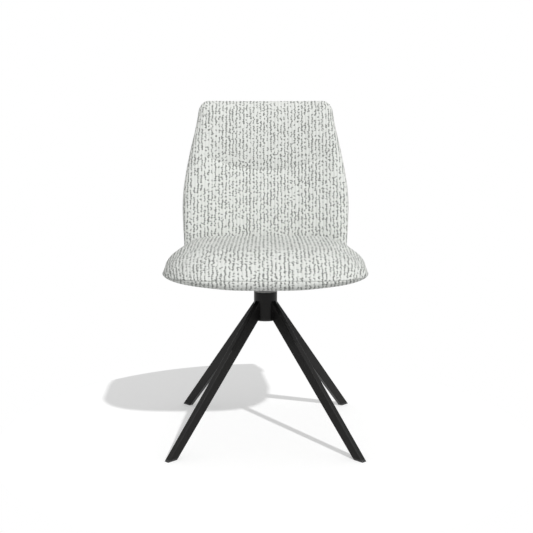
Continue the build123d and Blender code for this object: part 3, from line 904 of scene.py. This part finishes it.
class PaddedForm:
    """A closed form of quads: bands between rings round the edge, and a grid on each face."""

    def __init__(self, name: str, columns: int, rows: int, axes: tuple[int, int]) -> None:
        """Starts an empty form.

        Args:
            name: Name of the piece.
            columns: Quads across each face.
            rows: Quads up each face.
            axes: The two axes that the faces lie along, 0 to 2.
        """
        self.name = name
        self.columns = columns
        self.rows = rows
        self.axes = list(axes)
        self.places: list[np.ndarray] = []
        self.held: list[np.ndarray] = []
        self.quads: list[np.ndarray] = []
        self.cloth: list[np.ndarray] = []

    def counts(self, parts: int) -> list[int]:
        """Points on a ring's stretches, where each side is cut into equal parts."""
        return ([self.columns // parts] * parts + [self.rows // parts] * parts) * 2

    def add(self, places: np.ndarray, held: np.ndarray) -> int:
        """Adds points to the form.

        Args:
            places: Place of each point.
            held: How firmly the cloth is held at each.

        Returns:
            The index of the first.
        """
        first = sum(len(block) for block in self.places)
        self.places.append(places)
        self.held.append(held)
        return first

    def unroll(self, rings: list[Ring]) -> list[np.ndarray]:
        """Cloth coordinates of rings that leave a face.

        Each point keeps its place in the face's plane, moved outwards by what the cloth's way over
        the edge is longer than the way straight across.

        Args:
            rings: The rings, from the one that lies on the face.

        Returns:
            One array of cloth coordinates for each ring.
        """
        extra = np.zeros(len(rings[0].places))
        cloth = [rings[0].places[:, self.axes]]
        for before, ring in zip(rings, rings[1:]):
            step = ring.places - before.places
            flat = step[:, self.axes]
            outward = (flat * ring.outward).sum(axis=1)
            sideways = flat - outward[:, None] * ring.outward
            way = np.sqrt(np.maximum((step**2).sum(axis=1) - (sideways**2).sum(axis=1), 0.0))
            extra = extra + way - outward
            cloth.append(ring.places[:, self.axes] + ring.outward * extra[:, None])
        return cloth

    def wrap(self, rings: list[Ring], seam: int) -> None:
        """Adds all rings, with one panel of cloth on each side of a seam, and closes both faces.

        Args:
            rings: The rings from one face to the other.
            seam: Index of the ring in the seam.
        """
        first = [self.add(ring.places, np.full(len(ring.places), ring.held)) for ring in rings]
        low_cloth = self.unroll(rings[: seam + 1])
        high_cloth = self.unroll(rings[: seam - 1 : -1])[::-1]
        for k in range(len(rings) - 1):
            below_seam = k < seam
            cloth = low_cloth[k : k + 2] if below_seam else high_cloth[k - seam : k - seam + 2]
            self.band(first[k], first[k + 1], *cloth)
        self.face(first[0], rings[0], turned=True)
        self.face(first[-1], rings[-1], turned=False)

    def band(self, low: int, high: int, low_cloth: np.ndarray, high_cloth: np.ndarray) -> None:
        """Adds the quads between two rings.

        Args:
            low: Index of the first ring's first point.
            high: Index of the second ring's first point.
            low_cloth: Cloth coordinates of the first ring.
            high_cloth: Cloth coordinates of the second ring.
        """
        here = np.arange(len(low_cloth))
        there = np.roll(here, -1)
        corners = [low_cloth[here], low_cloth[there], high_cloth[there], high_cloth[here]]
        self.quads.append(np.stack([low + here, low + there, high + there, high + here], axis=1))
        self.cloth.append(np.stack(corners, axis=1))

    def face(self, first: int, ring: Ring, turned: bool) -> None:
        """Closes a ring with a grid that shrinks evenly to its middle.

        Args:
            first: Index of the ring's first point.
            ring: The ring.
            turned: True where the quads run the other way round.
        """
        i, j = np.meshgrid(np.arange(self.columns + 1), np.arange(self.rows + 1), indexing="ij")
        a, b = 2 * i / self.columns - 1, 2 * j / self.rows - 1
        share = np.maximum(np.abs(a), np.abs(b))
        at = self.ring_place(a / np.maximum(share, TINY), b / np.maximum(share, TINY))
        flat = ring.places[:, self.axes]
        low = np.floor(at + 1e-6).astype(int)
        part = np.clip(at - low, 0.0, 1.0)[..., None]
        edge = flat[low % len(flat)] * (1 - part) + flat[(low + 1) % len(flat)] * part
        middle = flat.mean(axis=0)
        grid = middle + (edge - middle) * share[..., None]
        inner = share < 1 - TINY
        index = first + np.round(at).astype(int) % len(flat)
        added = self.add(self.lay(grid[inner], a[inner], b[inner], turned), np.zeros(inner.sum()))
        index[inner] = added + np.arange(inner.sum())
        lower, upper = slice(None, -1), slice(1, None)
        corners = [(lower, lower), (upper, lower), (upper, upper), (lower, upper)]
        if turned:
            corners.reverse()
        self.quads.append(np.stack([index[corner].ravel() for corner in corners], axis=1))
        self.cloth.append(np.stack([grid[corner].reshape(-1, 2) for corner in corners], axis=1))

    def ring_place(self, a: np.ndarray, b: np.ndarray) -> np.ndarray:
        """Place along a ring, in points, of a place on the edge of the square from -1 to 1.

        Args:
            a: Place across the square.
            b: Place up the square.

        Returns:
            The place along the ring.
        """
        across, up = self.columns, self.rows
        left = 2 * across + up + (1 - b) / 2 * up
        top = across + up + (1 - a) / 2 * across
        right = across + (b + 1) / 2 * up
        bottom = (a + 1) / 2 * across
        at = np.where(np.isclose(b, 1), top, left)
        at = np.where(np.isclose(a, 1), right, at)
        return np.where(np.isclose(b, -1), bottom, at)

    def lay(self, flat: np.ndarray, a: np.ndarray, b: np.ndarray, turned: bool) -> np.ndarray:
        """Places of the inner points of a face; each cushion lays its own."""
        raise NotImplementedError

    def build(self) -> tuple[bpy.types.Object, np.ndarray]:
        """Makes the mesh object with its cloth coordinates.

        Returns:
            The object, and how firmly the cloth is held at each point.
        """
        mesh = bpy.data.meshes.new(self.name)
        mesh.from_pydata(np.vstack(self.places).tolist(), [], np.vstack(self.quads).tolist())
        layer = mesh.uv_layers.new(name=CLOTH_MAP)
        layer.data.foreach_set("uv", np.vstack(self.cloth).astype(np.float32).ravel())
        turn_outwards(mesh)
        mesh.shade_smooth()
        return place_piece(self.name, mesh), np.concatenate(self.held)


@dataclass(frozen=True)
class Filling:
    """Fills a cushion by cloth simulation, with a cap on how far the cloth moves.

    Attributes:
        pressure: Pressure inside the cushion.
        frames: Length of the simulation.
        cap: Limit of the cloth's movement.
        typical: A typical movement of the cloth; not used.
        quality: Steps in each frame.
        stiffness: Resistance to stretching and to squeezing.
        bending: Resistance to bending.
        pin_levels: Steps in which the pins' strength is set.
    """

    pressure: float = 4.0
    frames: int = 20
    cap: float = 6.0 * MM
    typical: float = 3.0 * MM
    quality: int = 5
    stiffness: float = 20.0
    bending: float = 1.0
    pin_levels: tuple[float, ...] = (0.2, 0.4, 0.6, 0.8, 1.0)

    def fill(self, piece: bpy.types.Object, held: np.ndarray) -> None:
        """Fills the piece in place.

        Args:
            piece: The closed cushion mesh.
            held: How firmly the cloth is held at each point, from 0 to 1.
        """
        mesh = piece.data
        rest = points_of(mesh)
        self.dress(piece, held)
        scene = bpy.context.scene
        for step in range(1, self.frames + 1):
            scene.frame_set(step)
        graph = bpy.context.evaluated_depsgraph_get()
        shift = points_of(piece.evaluated_get(graph).data) - rest
        length = np.linalg.norm(shift, axis=1)
        share = self.cap * np.tanh(length / self.cap) / np.maximum(length, TINY)
        piece.modifiers.clear()
        piece.vertex_groups.clear()
        move_points(mesh, rest + shift * share[:, None])
        scene.frame_set(1)
        LOG.info("filled %s: cloth moved %.1f mm, cap %.1f mm", piece.name, length.max() / MM, self.cap / MM)

    def dress(self, piece: bpy.types.Object, held: np.ndarray) -> None:
        """Adds the cloth and its pins.

        Args:
            piece: The cushion.
            held: How firmly the cloth is held at each point, from 0 to 1.
        """
        pins = piece.vertex_groups.new(name="pins")
        for level in self.pin_levels:
            pins.add(np.nonzero(held >= level)[0].tolist(), level, "REPLACE")
        cloth = piece.modifiers.new("filling", "CLOTH")
        cloth.settings.quality = self.quality
        cloth.settings.use_pressure = True
        cloth.settings.uniform_pressure_force = self.pressure
        cloth.settings.effector_weights.gravity = 0.0
        cloth.settings.vertex_group_mass = "pins"
        cloth.settings.tension_stiffness = self.stiffness
        cloth.settings.compression_stiffness = self.stiffness
        cloth.settings.bending_stiffness = self.bending
        cloth.collision_settings.use_collision = False
        cloth.point_cache.frame_start = 1
        cloth.point_cache.frame_end = self.frames


@dataclass(frozen=True)
class SeamCut:
    """The V that a sewn seam pulls into padding.

    Attributes:
        reach: Distance from the seam at which the V starts.
        depth: Depth of its bottom.
        rows: Places of the rows of points across the seam, as shares of the reach.
    """

    reach: float = 7.0 * MM
    depth: float = 3.0 * MM
    rows: tuple[float, ...] = (-1.0, -0.42, -0.16, 0.0, 0.16, 0.42, 1.0)

    def counts(self, seam: float, end: float, step: float) -> tuple[int, int]:
        """Numbers of rows below and above the seam, about a step apart."""
        return max(2, round((seam - self.reach) / step)), max(2, round((end - seam - self.reach) / step))

    def places(self, seam: float, end: float, counts: tuple[int, int]) -> np.ndarray:
        """Places of all rows of points along a profile from 0 to end that has a seam.

        Args:
            seam: Where the seam is.
            end: Where the profile ends.
            counts: Numbers of rows below and above the seam.

        Returns:
            The places.
        """
        across = seam + np.array(self.rows) * self.reach
        low = np.linspace(0.0, across[0], counts[0] + 1)[:-1]
        return np.concatenate([low, across[:-1], np.linspace(across[-1], end, counts[1] + 1)])

    def index(self, counts: tuple[int, int]) -> int:
        """Index of the seam's own row."""
        return counts[0] + len(self.rows) // 2

    def inset(self, off: float) -> float:
        """How far a row is pulled in, at a distance from the seam."""
        return self.depth * math.exp(-abs(off) / (0.2 * self.reach))

    def held(self, off: float) -> float:
        """How firmly the seam holds the cloth, at a distance from it."""
        return math.exp(-((off / self.reach) ** 2))


def finish_cushion(piece: bpy.types.Object, cloth: bpy.types.Material, nodes: tuple[str, ...]) -> None:
    """Gives a cushion its cloth, puts it on the seat's body and hides the soft nodes that it stands in for.

    Args:
        piece: The cushion.
        cloth: Its material.
        nodes: The soft nodes that it replaces.
    """
    piece.data.materials.clear()
    piece.data.materials.append(cloth)
    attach(piece, Body.SEAT.value)
    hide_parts(*nodes)
    LOG.info("built %s with %d quads", piece.name, len(piece.data.polygons))


@dataclass
class SeatCushion(PaddedForm):
    """The padded seat, sewn from a top panel and an under panel."""

    half_width: float = 254.5 * MM
    front: float = -305.8 * MM
    rear: float = 148.0 * MM
    bottom: float = 398.0 * MM
    top: float = 502.0 * MM
    rear_narrowing: float = 22.0 * MM
    widest: float = -60.0 * MM
    widest_shift: float = 0.4
    front_taper: float = 15.0 * MM
    front_sag: float = 7.0 * MM
    front_radius: float = 1500.0 * MM
    side_radius: float = 260.0 * MM
    rear_corner: float = 22.0 * MM
    back_curve: float = 1070.0 * MM
    seam_height: float = 434.0 * MM
    seam_tilt: float = 2.1
    sections: int = 90
    quad: float = 6.5 * MM
    crown: float = 1.5 * MM
    slack: float = 1.5 * MM
    under_fade: float = 4.0 * MM
    pinned_under: float = 20.0 * MM
    pinned_under_fade: float = 8.0 * MM
    pinned_rear: float = 25.0 * MM
    pinned_rear_fade: float = 20.0 * MM
    # Share of the height, tilt in degrees, how far the outline is drawn in at the sides, front and
    # rear in millimetres, and the front corners' radius as a share of the shorter of the half width
    # and the way from the front to the widest place.
    levels: tuple[tuple[float, ...], ...] = (
        (0.000, 0.0, 82.0, 160.0, 16.0, 0.79),
        (0.060, 0.0, 76.0, 127.0, 9.0, 0.88),
        (0.150, 0.2, 62.0, 74.0, 4.0, 0.88),
        (0.270, 0.7, 31.0, 21.0, 1.5, 0.83),
        (0.400, 1.8, 7.0, 3.0, 0.2, 0.70),
        (0.560, 2.5, 0.0, 0.0, 0.0, 0.54),
        (0.720, 2.3, 8.5, 4.0, 1.0, 0.47),
        (0.850, 1.4, 28.0, 17.0, 4.0, 0.45),
        (0.940, 0.5, 54.0, 39.0, 9.0, 0.44),
        (0.985, 0.1, 87.0, 74.0, 16.0, 0.43),
        (1.000, 0.0, 128.0, 124.0, 30.0, 0.43),
    )

    def __post_init__(self) -> None:
        """Starts the empty form."""
        super().__init__("seat_cushion", 72, 64, (0, 1))

    def section(self, row: np.ndarray) -> np.ndarray:
        """Outline of one level, at its height and tilt.

        Args:
            row: The level's row of the design table.

        Returns:
            One row for each point: its place, and its outward direction in plan.
        """
        share, tilt = row[:2]
        side_inset, front_inset, rear_inset = row[2:5] * MM
        half = self.half_width - side_inset
        front = self.front + front_inset
        rear = self.rear - rear_inset
        width_share = half / self.half_width
        rear_half = half - self.rear_narrowing * width_share
        rear_sag = rear_half**2 / (2 * self.back_curve)
        front_x = half - self.front_taper * width_share
        front_y = front + self.front_sag * width_share**2
        widest = self.widest + self.widest_shift * front_inset
        corner = row[5] * min(half, widest - front)
        corners = [
            (-front_x, front_y, corner),
            (0.0, front, self.front_radius),
            (front_x, front_y, corner),
            (half, widest, self.side_radius),
            (rear_half, rear - rear_sag, self.rear_corner),
            (0.0, rear + rear_sag / 2, self.back_curve),
            (-rear_half, rear - rear_sag, self.rear_corner),
            (-half, widest, self.side_radius),
        ]
        loop = rounded_loop(corners, self.counts(2))
        lean = math.radians(tilt)
        height = self.bottom + share * (self.top - self.bottom)
        y, z = loop[:, 1] * math.cos(lean), height + loop[:, 1] * math.sin(lean)
        return np.column_stack([loop[:, 0], y, z, loop[:, 2:]])

    def above_seam(self, points: np.ndarray) -> np.ndarray:
        """Height of points above the seam's plane, which is higher at the front."""
        return points[:, 2] - self.seam_height + points[:, 1] * math.tan(math.radians(self.seam_tilt))

    def rings(self) -> tuple[list[Ring], int]:
        """Rings from the underside to the top; each column of points is cut where the seam crosses it.

        Returns:
            The rings, and the index of the one in the seam.
        """
        rows = np.array(self.levels)
        rise = (self.top - self.bottom) / MM
        at = run_length(np.stack([rows[:, 0] * rise, (rows[:, 2] + rows[:, 3]) / 2], axis=1))
        levels = resample(rows, at, np.linspace(0.0, at[-1], self.sections))
        columns = np.stack([self.section(row) for row in levels], axis=1)
        runs = [run_length(column[:, :3]) for column in columns]
        seams = [np.interp(0.0, self.above_seam(column), run) for column, run in zip(columns, runs)]
        cut = SeamCut()
        middle, end = float(np.mean(seams)), float(np.mean([run[-1] for run in runs]))
        counts = cut.counts(middle, end, self.quad)
        grid = []
        for column, run, seam in zip(columns, runs, seams):
            want = cut.places(seam, run[-1], counts)
            grid.append(np.column_stack([np.interp(want, run, part) for part in column.T]))
        rings = []
        for layer, place in zip(np.stack(grid, axis=1), cut.places(middle, end, counts)):
            off = float(place - middle)
            held = max(min(max(-off / self.under_fade, 0.0), 1.0), cut.held(off))
            outward = layer[:, 3:] / np.linalg.norm(layer[:, 3:], axis=1, keepdims=True)
            layer[:, :2] -= outward * (cut.inset(off) + self.slack * (1 - held))
            rings.append(Ring(layer[:, :3], outward, held))
        return rings, cut.index(counts)

    def lay(self, flat: np.ndarray, a: np.ndarray, b: np.ndarray, turned: bool) -> np.ndarray:
        """Lays the underside flat and crowns the top."""
        crowned = self.top + self.crown * (1 - a**2) * (1 - b**2)
        return np.column_stack([flat, np.full(len(flat), self.bottom) if turned else crowned])

    def make(self, finishes: Finishes) -> bpy.types.Object:
        """Builds the seat cushion and the stitches of its seam.

        Args:
            finishes: The chair's finishes.

        Returns:
            The cushion.
        """
        rings, seam = self.rings()
        self.wrap(rings, seam)
        piece, held = self.build()
        points = points_of(piece.data)
        above_board = self.bottom + self.pinned_under - points[:, 2]
        at_bottom = np.clip(above_board / self.pinned_under_fade, 0, 1)
        behind = points[:, 1] - (self.rear - self.pinned_rear)
        at_rear = np.clip(behind / self.pinned_rear_fade, 0, 0.8)
        Filling().fill(piece, np.maximum(held, np.maximum(at_bottom, at_rear)))
        subdivide(piece)
        nodes = ("seat_foam", "seat_cover_top", "seat_cover_under")
        finish_cushion(piece, finishes.by_slot[Slot.CLOTH], nodes)
        path = on_surface(piece, rings[seam].places)
        StitchLine("seat_seam_stitches", closed=True).make(path, finishes)
        return piece


@dataclass
class BackCushion(PaddedForm):
    """The padded back, of front and rear panels, with a smile-shaped sewn line across the front."""

    bottom: float = 404.0 * MM
    top: float = 873.5 * MM
    half_width: float = 230.0 * MM
    thickness: float = 52.0 * MM
    curve: float = 1070.0 * MM
    front_low: float = 146.0 * MM
    front_high: float = 259.9 * MM
    lean_growth: float = 1.28
    corner: float = 28.0 * MM
    edge: float = 24.0 * MM
    roundness: float = 2.3
    edge_steps: int = 40
    quad: float = 6.5 * MM
    crease_centre: float = 681.0 * MM
    crease_end: float = 724.0 * MM
    crease_half: float = 174.0 * MM
    crease_depth: float = 4.8 * MM
    crease_reach: float = 14.0 * MM
    crease_fade: float = 40.0 * MM
    crease_sharpness: float = 0.45
    crease_hold: float = 2.5
    crease_points: int = 90
    pinned_low: float = 70.0 * MM
    pinned_low_fade: float = 40.0 * MM
    # Share of the height, and each side's inset from the widest place, in millimetres.
    sides: tuple[tuple[float, float], ...] = (
        (0.00, 8.0),
        (0.16, 5.0),
        (0.27, 2.0),
        (0.38, 0.0),
        (0.48, 2.2),
        (0.59, 9.5),
        (0.71, 20.0),
        (0.85, 34.5),
        (1.00, 45.0),
    )

    def __post_init__(self) -> None:
        """Starts the empty form."""
        super().__init__("back_cushion", 64, 72, (0, 2))

    def side_half(self, z: np.ndarray) -> np.ndarray:
        """Half width of the back at each height.

        Args:
            z: The heights.

        Returns:
            The half widths.
        """
        table = np.array(self.sides)
        share = (z - self.bottom) / (self.top - self.bottom)
        inset = resample(table[:, 1:], table[:, 0], np.clip(share, 0.0, 1.0))
        return self.half_width - inset[:, 0] * MM

    def outline(self, inset: float) -> np.ndarray:
        """Outline seen from the front, drawn in by inset, with outward directions.

        Args:
            inset: How far it is drawn in.

        Returns:
            One row (x, z, outward x, outward z) for each point.
        """
        half, low, high = self.half_width - inset, self.bottom + inset, self.top - inset
        corners = [(-half, low), (half, low), (half, high), (-half, high)]
        loop = rounded_loop([(x, z, self.corner) for x, z in corners], self.counts(1))
        loop[:, 0] *= (self.side_half(loop[:, 1]) - inset) / half
        return loop

    def bend(self, flat: np.ndarray, depth: float) -> np.ndarray:
        """Places points of the front view on the leaning, hollow back.

        Args:
            flat: X and Z of each point.
            depth: How far they lie behind the front face.

        Returns:
            Their places.
        """
        x, z = flat[:, 0], flat[:, 1]
        share = np.clip((z - self.bottom) / (self.top - self.bottom), 0.0, None)
        front = self.front_low + (self.front_high - self.front_low) * share**self.lean_growth
        hollow = self.curve - np.sqrt(self.curve**2 - x**2)
        return np.column_stack([x, front - hollow + depth, z])

    def rings(self) -> tuple[list[Ring], int]:
        """Rings from the front face round the edge to the rear face.

        Returns:
            The rings, and the index of the one in the side seam.
        """
        turn = np.linspace(0.0, math.pi / 2, self.edge_steps)
        power = 2 / self.roundness
        inset = self.edge * (1 - np.sin(turn) ** power)
        depth = self.thickness / 2 * (1 - np.cos(turn) ** power)
        inset = np.concatenate([inset, inset[-2::-1]])
        depth = np.concatenate([depth, self.thickness - depth[-2::-1]])
        at = run_length(np.stack([inset, depth], axis=1))
        cut = SeamCut()
        seam, end = float(at[-1] / 2), float(at[-1])
        counts = cut.counts(seam, end, self.quad)
        rings = []
        for place in cut.places(seam, end, counts):
            off = float(place - seam)
            loop = self.outline(float(np.interp(place, at, inset)) + cut.inset(off))
            places = self.bend(loop[:, :2], float(np.interp(place, at, depth)))
            rings.append(Ring(places, loop[:, 2:], cut.held(off)))
        return rings, cut.index(counts)

    def lay(self, flat: np.ndarray, a: np.ndarray, b: np.ndarray, turned: bool) -> np.ndarray:
        """Lays the front and rear faces on the hollow back."""
        return self.bend(flat, 0.0 if turned else self.thickness)

    def crease(self, x: np.ndarray) -> np.ndarray:
        """Height of the sewn line."""
        return self.crease_centre + (self.crease_end - self.crease_centre) * (x / self.crease_half) ** 2

    def crease_pull(self, points: np.ndarray, normals: np.ndarray, reach: float) -> np.ndarray:
        """How strongly the sewn line pulls each point in, from 0 to 1.

        Args:
            points: The points.
            normals: Their normals.
            reach: Distance from the line at which the pull has faded.

        Returns:
            The pull.
        """
        off = points[:, 2] - self.crease(points[:, 0])
        fade = np.clip((self.crease_half - np.abs(points[:, 0])) / self.crease_fade, 0.0, 1.0)
        front = np.clip(-normals[:, 1] * 1.4, 0.0, 1.0)
        return np.exp(-np.abs(off) / (self.crease_sharpness * reach)) * np.sin(fade * math.pi / 2) * front

    def make(self, finishes: Finishes) -> bpy.types.Object:
        """Builds the back cushion and the stitches of its seams.

        Args:
            finishes: The chair's finishes.

        Returns:
            The cushion.
        """
        rings, seam = self.rings()
        self.wrap(rings, seam)
        piece, held = self.build()
        points, normals = points_of(piece.data), normals_of(piece.data)
        above_end = self.bottom + self.pinned_low - points[:, 2]
        at_bottom = np.clip(above_end / self.pinned_low_fade, 0, 1)
        at_crease = self.crease_pull(points, normals, self.crease_hold * self.crease_reach)
        Filling().fill(piece, np.maximum(held, np.maximum(at_bottom, at_crease)))
        subdivide(piece)
        points, normals = points_of(piece.data), normals_of(piece.data)
        pull = self.crease_depth * self.crease_pull(points, normals, self.crease_reach)
        move_points(piece.data, points - normals * pull[:, None])
        nodes = ("back_foam", "back_cover_front", "back_cover_rear")
        finish_cushion(piece, finishes.by_slot[Slot.CLOTH], nodes)
        path = on_surface(piece, rings[seam].places)
        StitchLine("back_seam_stitches", closed=True).make(path, finishes)
        x = np.linspace(-self.crease_half, self.crease_half, self.crease_points)
        flat = np.column_stack([x, self.crease(x)])
        path = on_surface(piece, self.bend(flat, self.crease_depth))
        StitchLine("back_crease_stitches", closed=False).make(path, finishes)
        return piece


# ---------------------------------------------------------------------------
# Stitches
# ---------------------------------------------------------------------------


def on_surface(piece: bpy.types.Object, places: np.ndarray) -> np.ndarray:
    """Moves places to the nearest points of a piece's surface.

    Args:
        piece: The piece.
        places: One row for each place.

    Returns:
        The nearest points.
    """
    mesh = piece.data
    tree = BVHTree.FromPolygons(points_of(mesh).tolist(), [tuple(face.vertices) for face in mesh.polygons])
    return np.array([tree.find_nearest(Vector(place))[0] for place in places])


@dataclass
class StitchLine:
    """A row of sewn stitches along a path, made by a Geometry Nodes tree."""

    name: str
    closed: bool
    spacing: float = 4.2 * MM
    length: float = 3.1 * MM
    thickness: float = 0.9 * MM
    bead_sides: int = 8
    bead_rings: int = 5

    def tree(self) -> bpy.types.NodeTree:
        """Builds the tree, with named inputs for the stitches' sizes.

        Returns:
            The tree.
        """
        group = bpy.data.node_groups.new(f"{self.name}_tree", "GeometryNodeTree")
        face = group.interface
        face.new_socket("Geometry", in_out="INPUT", socket_type="NodeSocketGeometry")
        for title in ("Spacing", "Length", "Thickness"):
            face.new_socket(title, in_out="INPUT", socket_type="NodeSocketFloat")
        face.new_socket("Thread", in_out="INPUT", socket_type="NodeSocketMaterial")
        face.new_socket("Geometry", in_out="OUTPUT", socket_type="NodeSocketGeometry")
        g = Tree(group)
        given = g.node("NodeGroupInput").outputs
        curve = g.node("GeometryNodeMeshToCurve", None, {"Mesh": given["Geometry"]}).outputs[0]
        inputs = {"Curve": curve, "Length": given["Spacing"]}
        spots = g.node("GeometryNodeCurveToPoints", {"mode": "LENGTH"}, inputs)
        inputs = {"Segments": self.bead_sides, "Rings": self.bead_rings, "Radius": 0.5}
        bead = g.node("GeometryNodeMeshUVSphere", None, inputs).outputs[0]
        sizes = {0: given["Thickness"], 1: given["Thickness"], 2: given["Length"]}
        scale = g.node("ShaderNodeCombineXYZ", None, sizes).outputs[0]
        inputs = {"Points": spots.outputs["Points"], "Instance": bead, "Rotation": spots.outputs["Rotation"]}
        beads = g.node("GeometryNodeInstanceOnPoints", None, {**inputs, "Scale": scale}).outputs[0]
        real = g.node("GeometryNodeRealizeInstances", None, {0: beads}).outputs[0]
        dressed = g.node("GeometryNodeSetMaterial", None, {"Geometry": real, "Material": given["Thread"]})
        g.node("NodeGroupOutput", None, {"Geometry": dressed.outputs[0]})
        return group

    def make(self, path: np.ndarray, finishes: Finishes) -> bpy.types.Object:
        """Sews the stitches along a path.

        Args:
            path: Points of the path.
            finishes: The chair's finishes.

        Returns:
            The stitches as one piece.
        """
        count = len(path)
        edges = [(k, k + 1) for k in range(count - 1)] + ([(count - 1, 0)] if self.closed else [])
        mesh = bpy.data.meshes.new(self.name)
        mesh.from_pydata(path.tolist(), edges, [])
        piece = place_piece(self.name, mesh)
        sewing = piece.modifiers.new("sewing", "NODES")
        sewing.node_group = self.tree()
        given = {
            "Spacing": self.spacing,
            "Length": self.length,
            "Thickness": self.thickness,
            "Thread": finishes.thread,
        }
        for item in sewing.node_group.interface.items_tree:
            if item.in_out == "INPUT" and item.name in given:
                sewing[item.identifier] = given[item.name]
        settle(piece)
        piece.data.shade_smooth()
        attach(piece, Body.SEAT.value)
        LOG.info("sewed %s with %d faces", self.name, len(piece.data.polygons))
        return piece


# ---------------------------------------------------------------------------
# Studio
# ---------------------------------------------------------------------------


@dataclass
class Studio:
    """Round white floor, clear daylight and the photograph's camera."""

    sensor: float = 36.0
    lens: float = 57.16
    camera_place: tuple[float, float, float] = (0.0025, -2.167, 0.7417)
    camera_pitch: float = 82.0
    sun_from: tuple[float, float, float] = (0.54, -1.06, 1.0)
    sun_strength: float = 2.2
    sun_spread: float = 1.5
    sky: float = 0.52
    floor_radius: float = 0.69
    floor_grey: float = 0.80
    floor_sides: int = 128
    floor_lift: float = 0.28

    def build(self) -> None:
        """Makes the camera, the lamp, the sky and the floor."""
        self.camera()
        self.sun()
        self.sky_light()
        self.floor()

    def camera(self) -> None:
        """Places the photograph's camera."""
        data = bpy.data.cameras.new("camera")
        data.sensor_width = self.sensor
        data.lens = self.lens
        camera = bpy.data.objects.new("camera", data)
        camera.location = self.camera_place
        camera.rotation_euler = (math.radians(self.camera_pitch), 0.0, 0.0)
        bpy.context.scene.collection.objects.link(camera)
        bpy.context.scene.camera = camera

    def sun(self) -> None:
        """Adds the key light."""
        data = bpy.data.lights.new("key", "SUN")
        data.energy = self.sun_strength
        data.angle = math.radians(self.sun_spread)
        lamp = bpy.data.objects.new("key", data)
        lamp.rotation_euler = Vector(self.sun_from).to_track_quat("Z", "Y").to_euler()
        bpy.context.scene.collection.objects.link(lamp)

    def seen(self, s: Shader) -> Value:
        """1 for the rays that show the background: camera, glossy and transmission rays.

        Args:
            s: The shader tree.

        Returns:
            1 for those rays, else 0.
        """
        path = s.node("ShaderNodeLightPath").outputs
        glossy = Value(s, path["Is Glossy Ray"]).at_least(Value(s, path["Is Transmission Ray"]))
        return Value(s, path["Is Camera Ray"]).at_least(glossy)

    def sky_light(self) -> None:
        """Lights the scene from all round, and shows white to the camera and in gloss."""
        world = bpy.data.worlds.new("sky")
        world.use_nodes = True
        s = Shader(world.node_tree)
        strength = self.seen(s) * (1.0 - self.sky) + self.sky
        light = s.node("ShaderNodeBackground", None, {0: WHITE, 1: strength})
        s.node("ShaderNodeOutputWorld", None, {0: light.outputs[0]})
        bpy.context.scene.world = world

    def floor(self) -> None:
        """Adds the round floor, which looks white and keeps the shadow that falls on it."""
        turns = np.linspace(0.0, math.tau, self.floor_sides + 1)[:-1]
        rim = np.stack([np.cos(turns), np.sin(turns), np.zeros(len(turns))], axis=1) * self.floor_radius
        mesh = bpy.data.meshes.new("floor")
        mesh.from_pydata(rim.tolist(), [], [tuple(range(len(rim)))])
        floor = place_piece("floor", mesh)
        material, s = new_material("studio_floor")
        matt = s.node("ShaderNodeBsdfDiffuse", None, {0: shaded(WHITE, self.floor_grey)})
        lift = s.node("ShaderNodeEmission", None, {0: WHITE, 1: self.seen(s) * self.floor_lift})
        both = s.node("ShaderNodeAddShader", None, {0: matt.outputs[0], 1: lift.outputs[0]})
        s.node("ShaderNodeOutputMaterial", None, {0: both.outputs[0]})
        mesh.materials.append(material)


def main() -> None:
    """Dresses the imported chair."""
    logging.basicConfig(level=logging.INFO, format="%(message)s")
    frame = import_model()
    bpy.context.scene.view_settings.view_transform = "Standard"
    Studio().build()
    finishes = Finishes()
    finishes.dress_nodes(frame)
    SeatCushion().make(finishes)
    BackCushion().make(finishes)


if __name__ == "__main__":
    main()
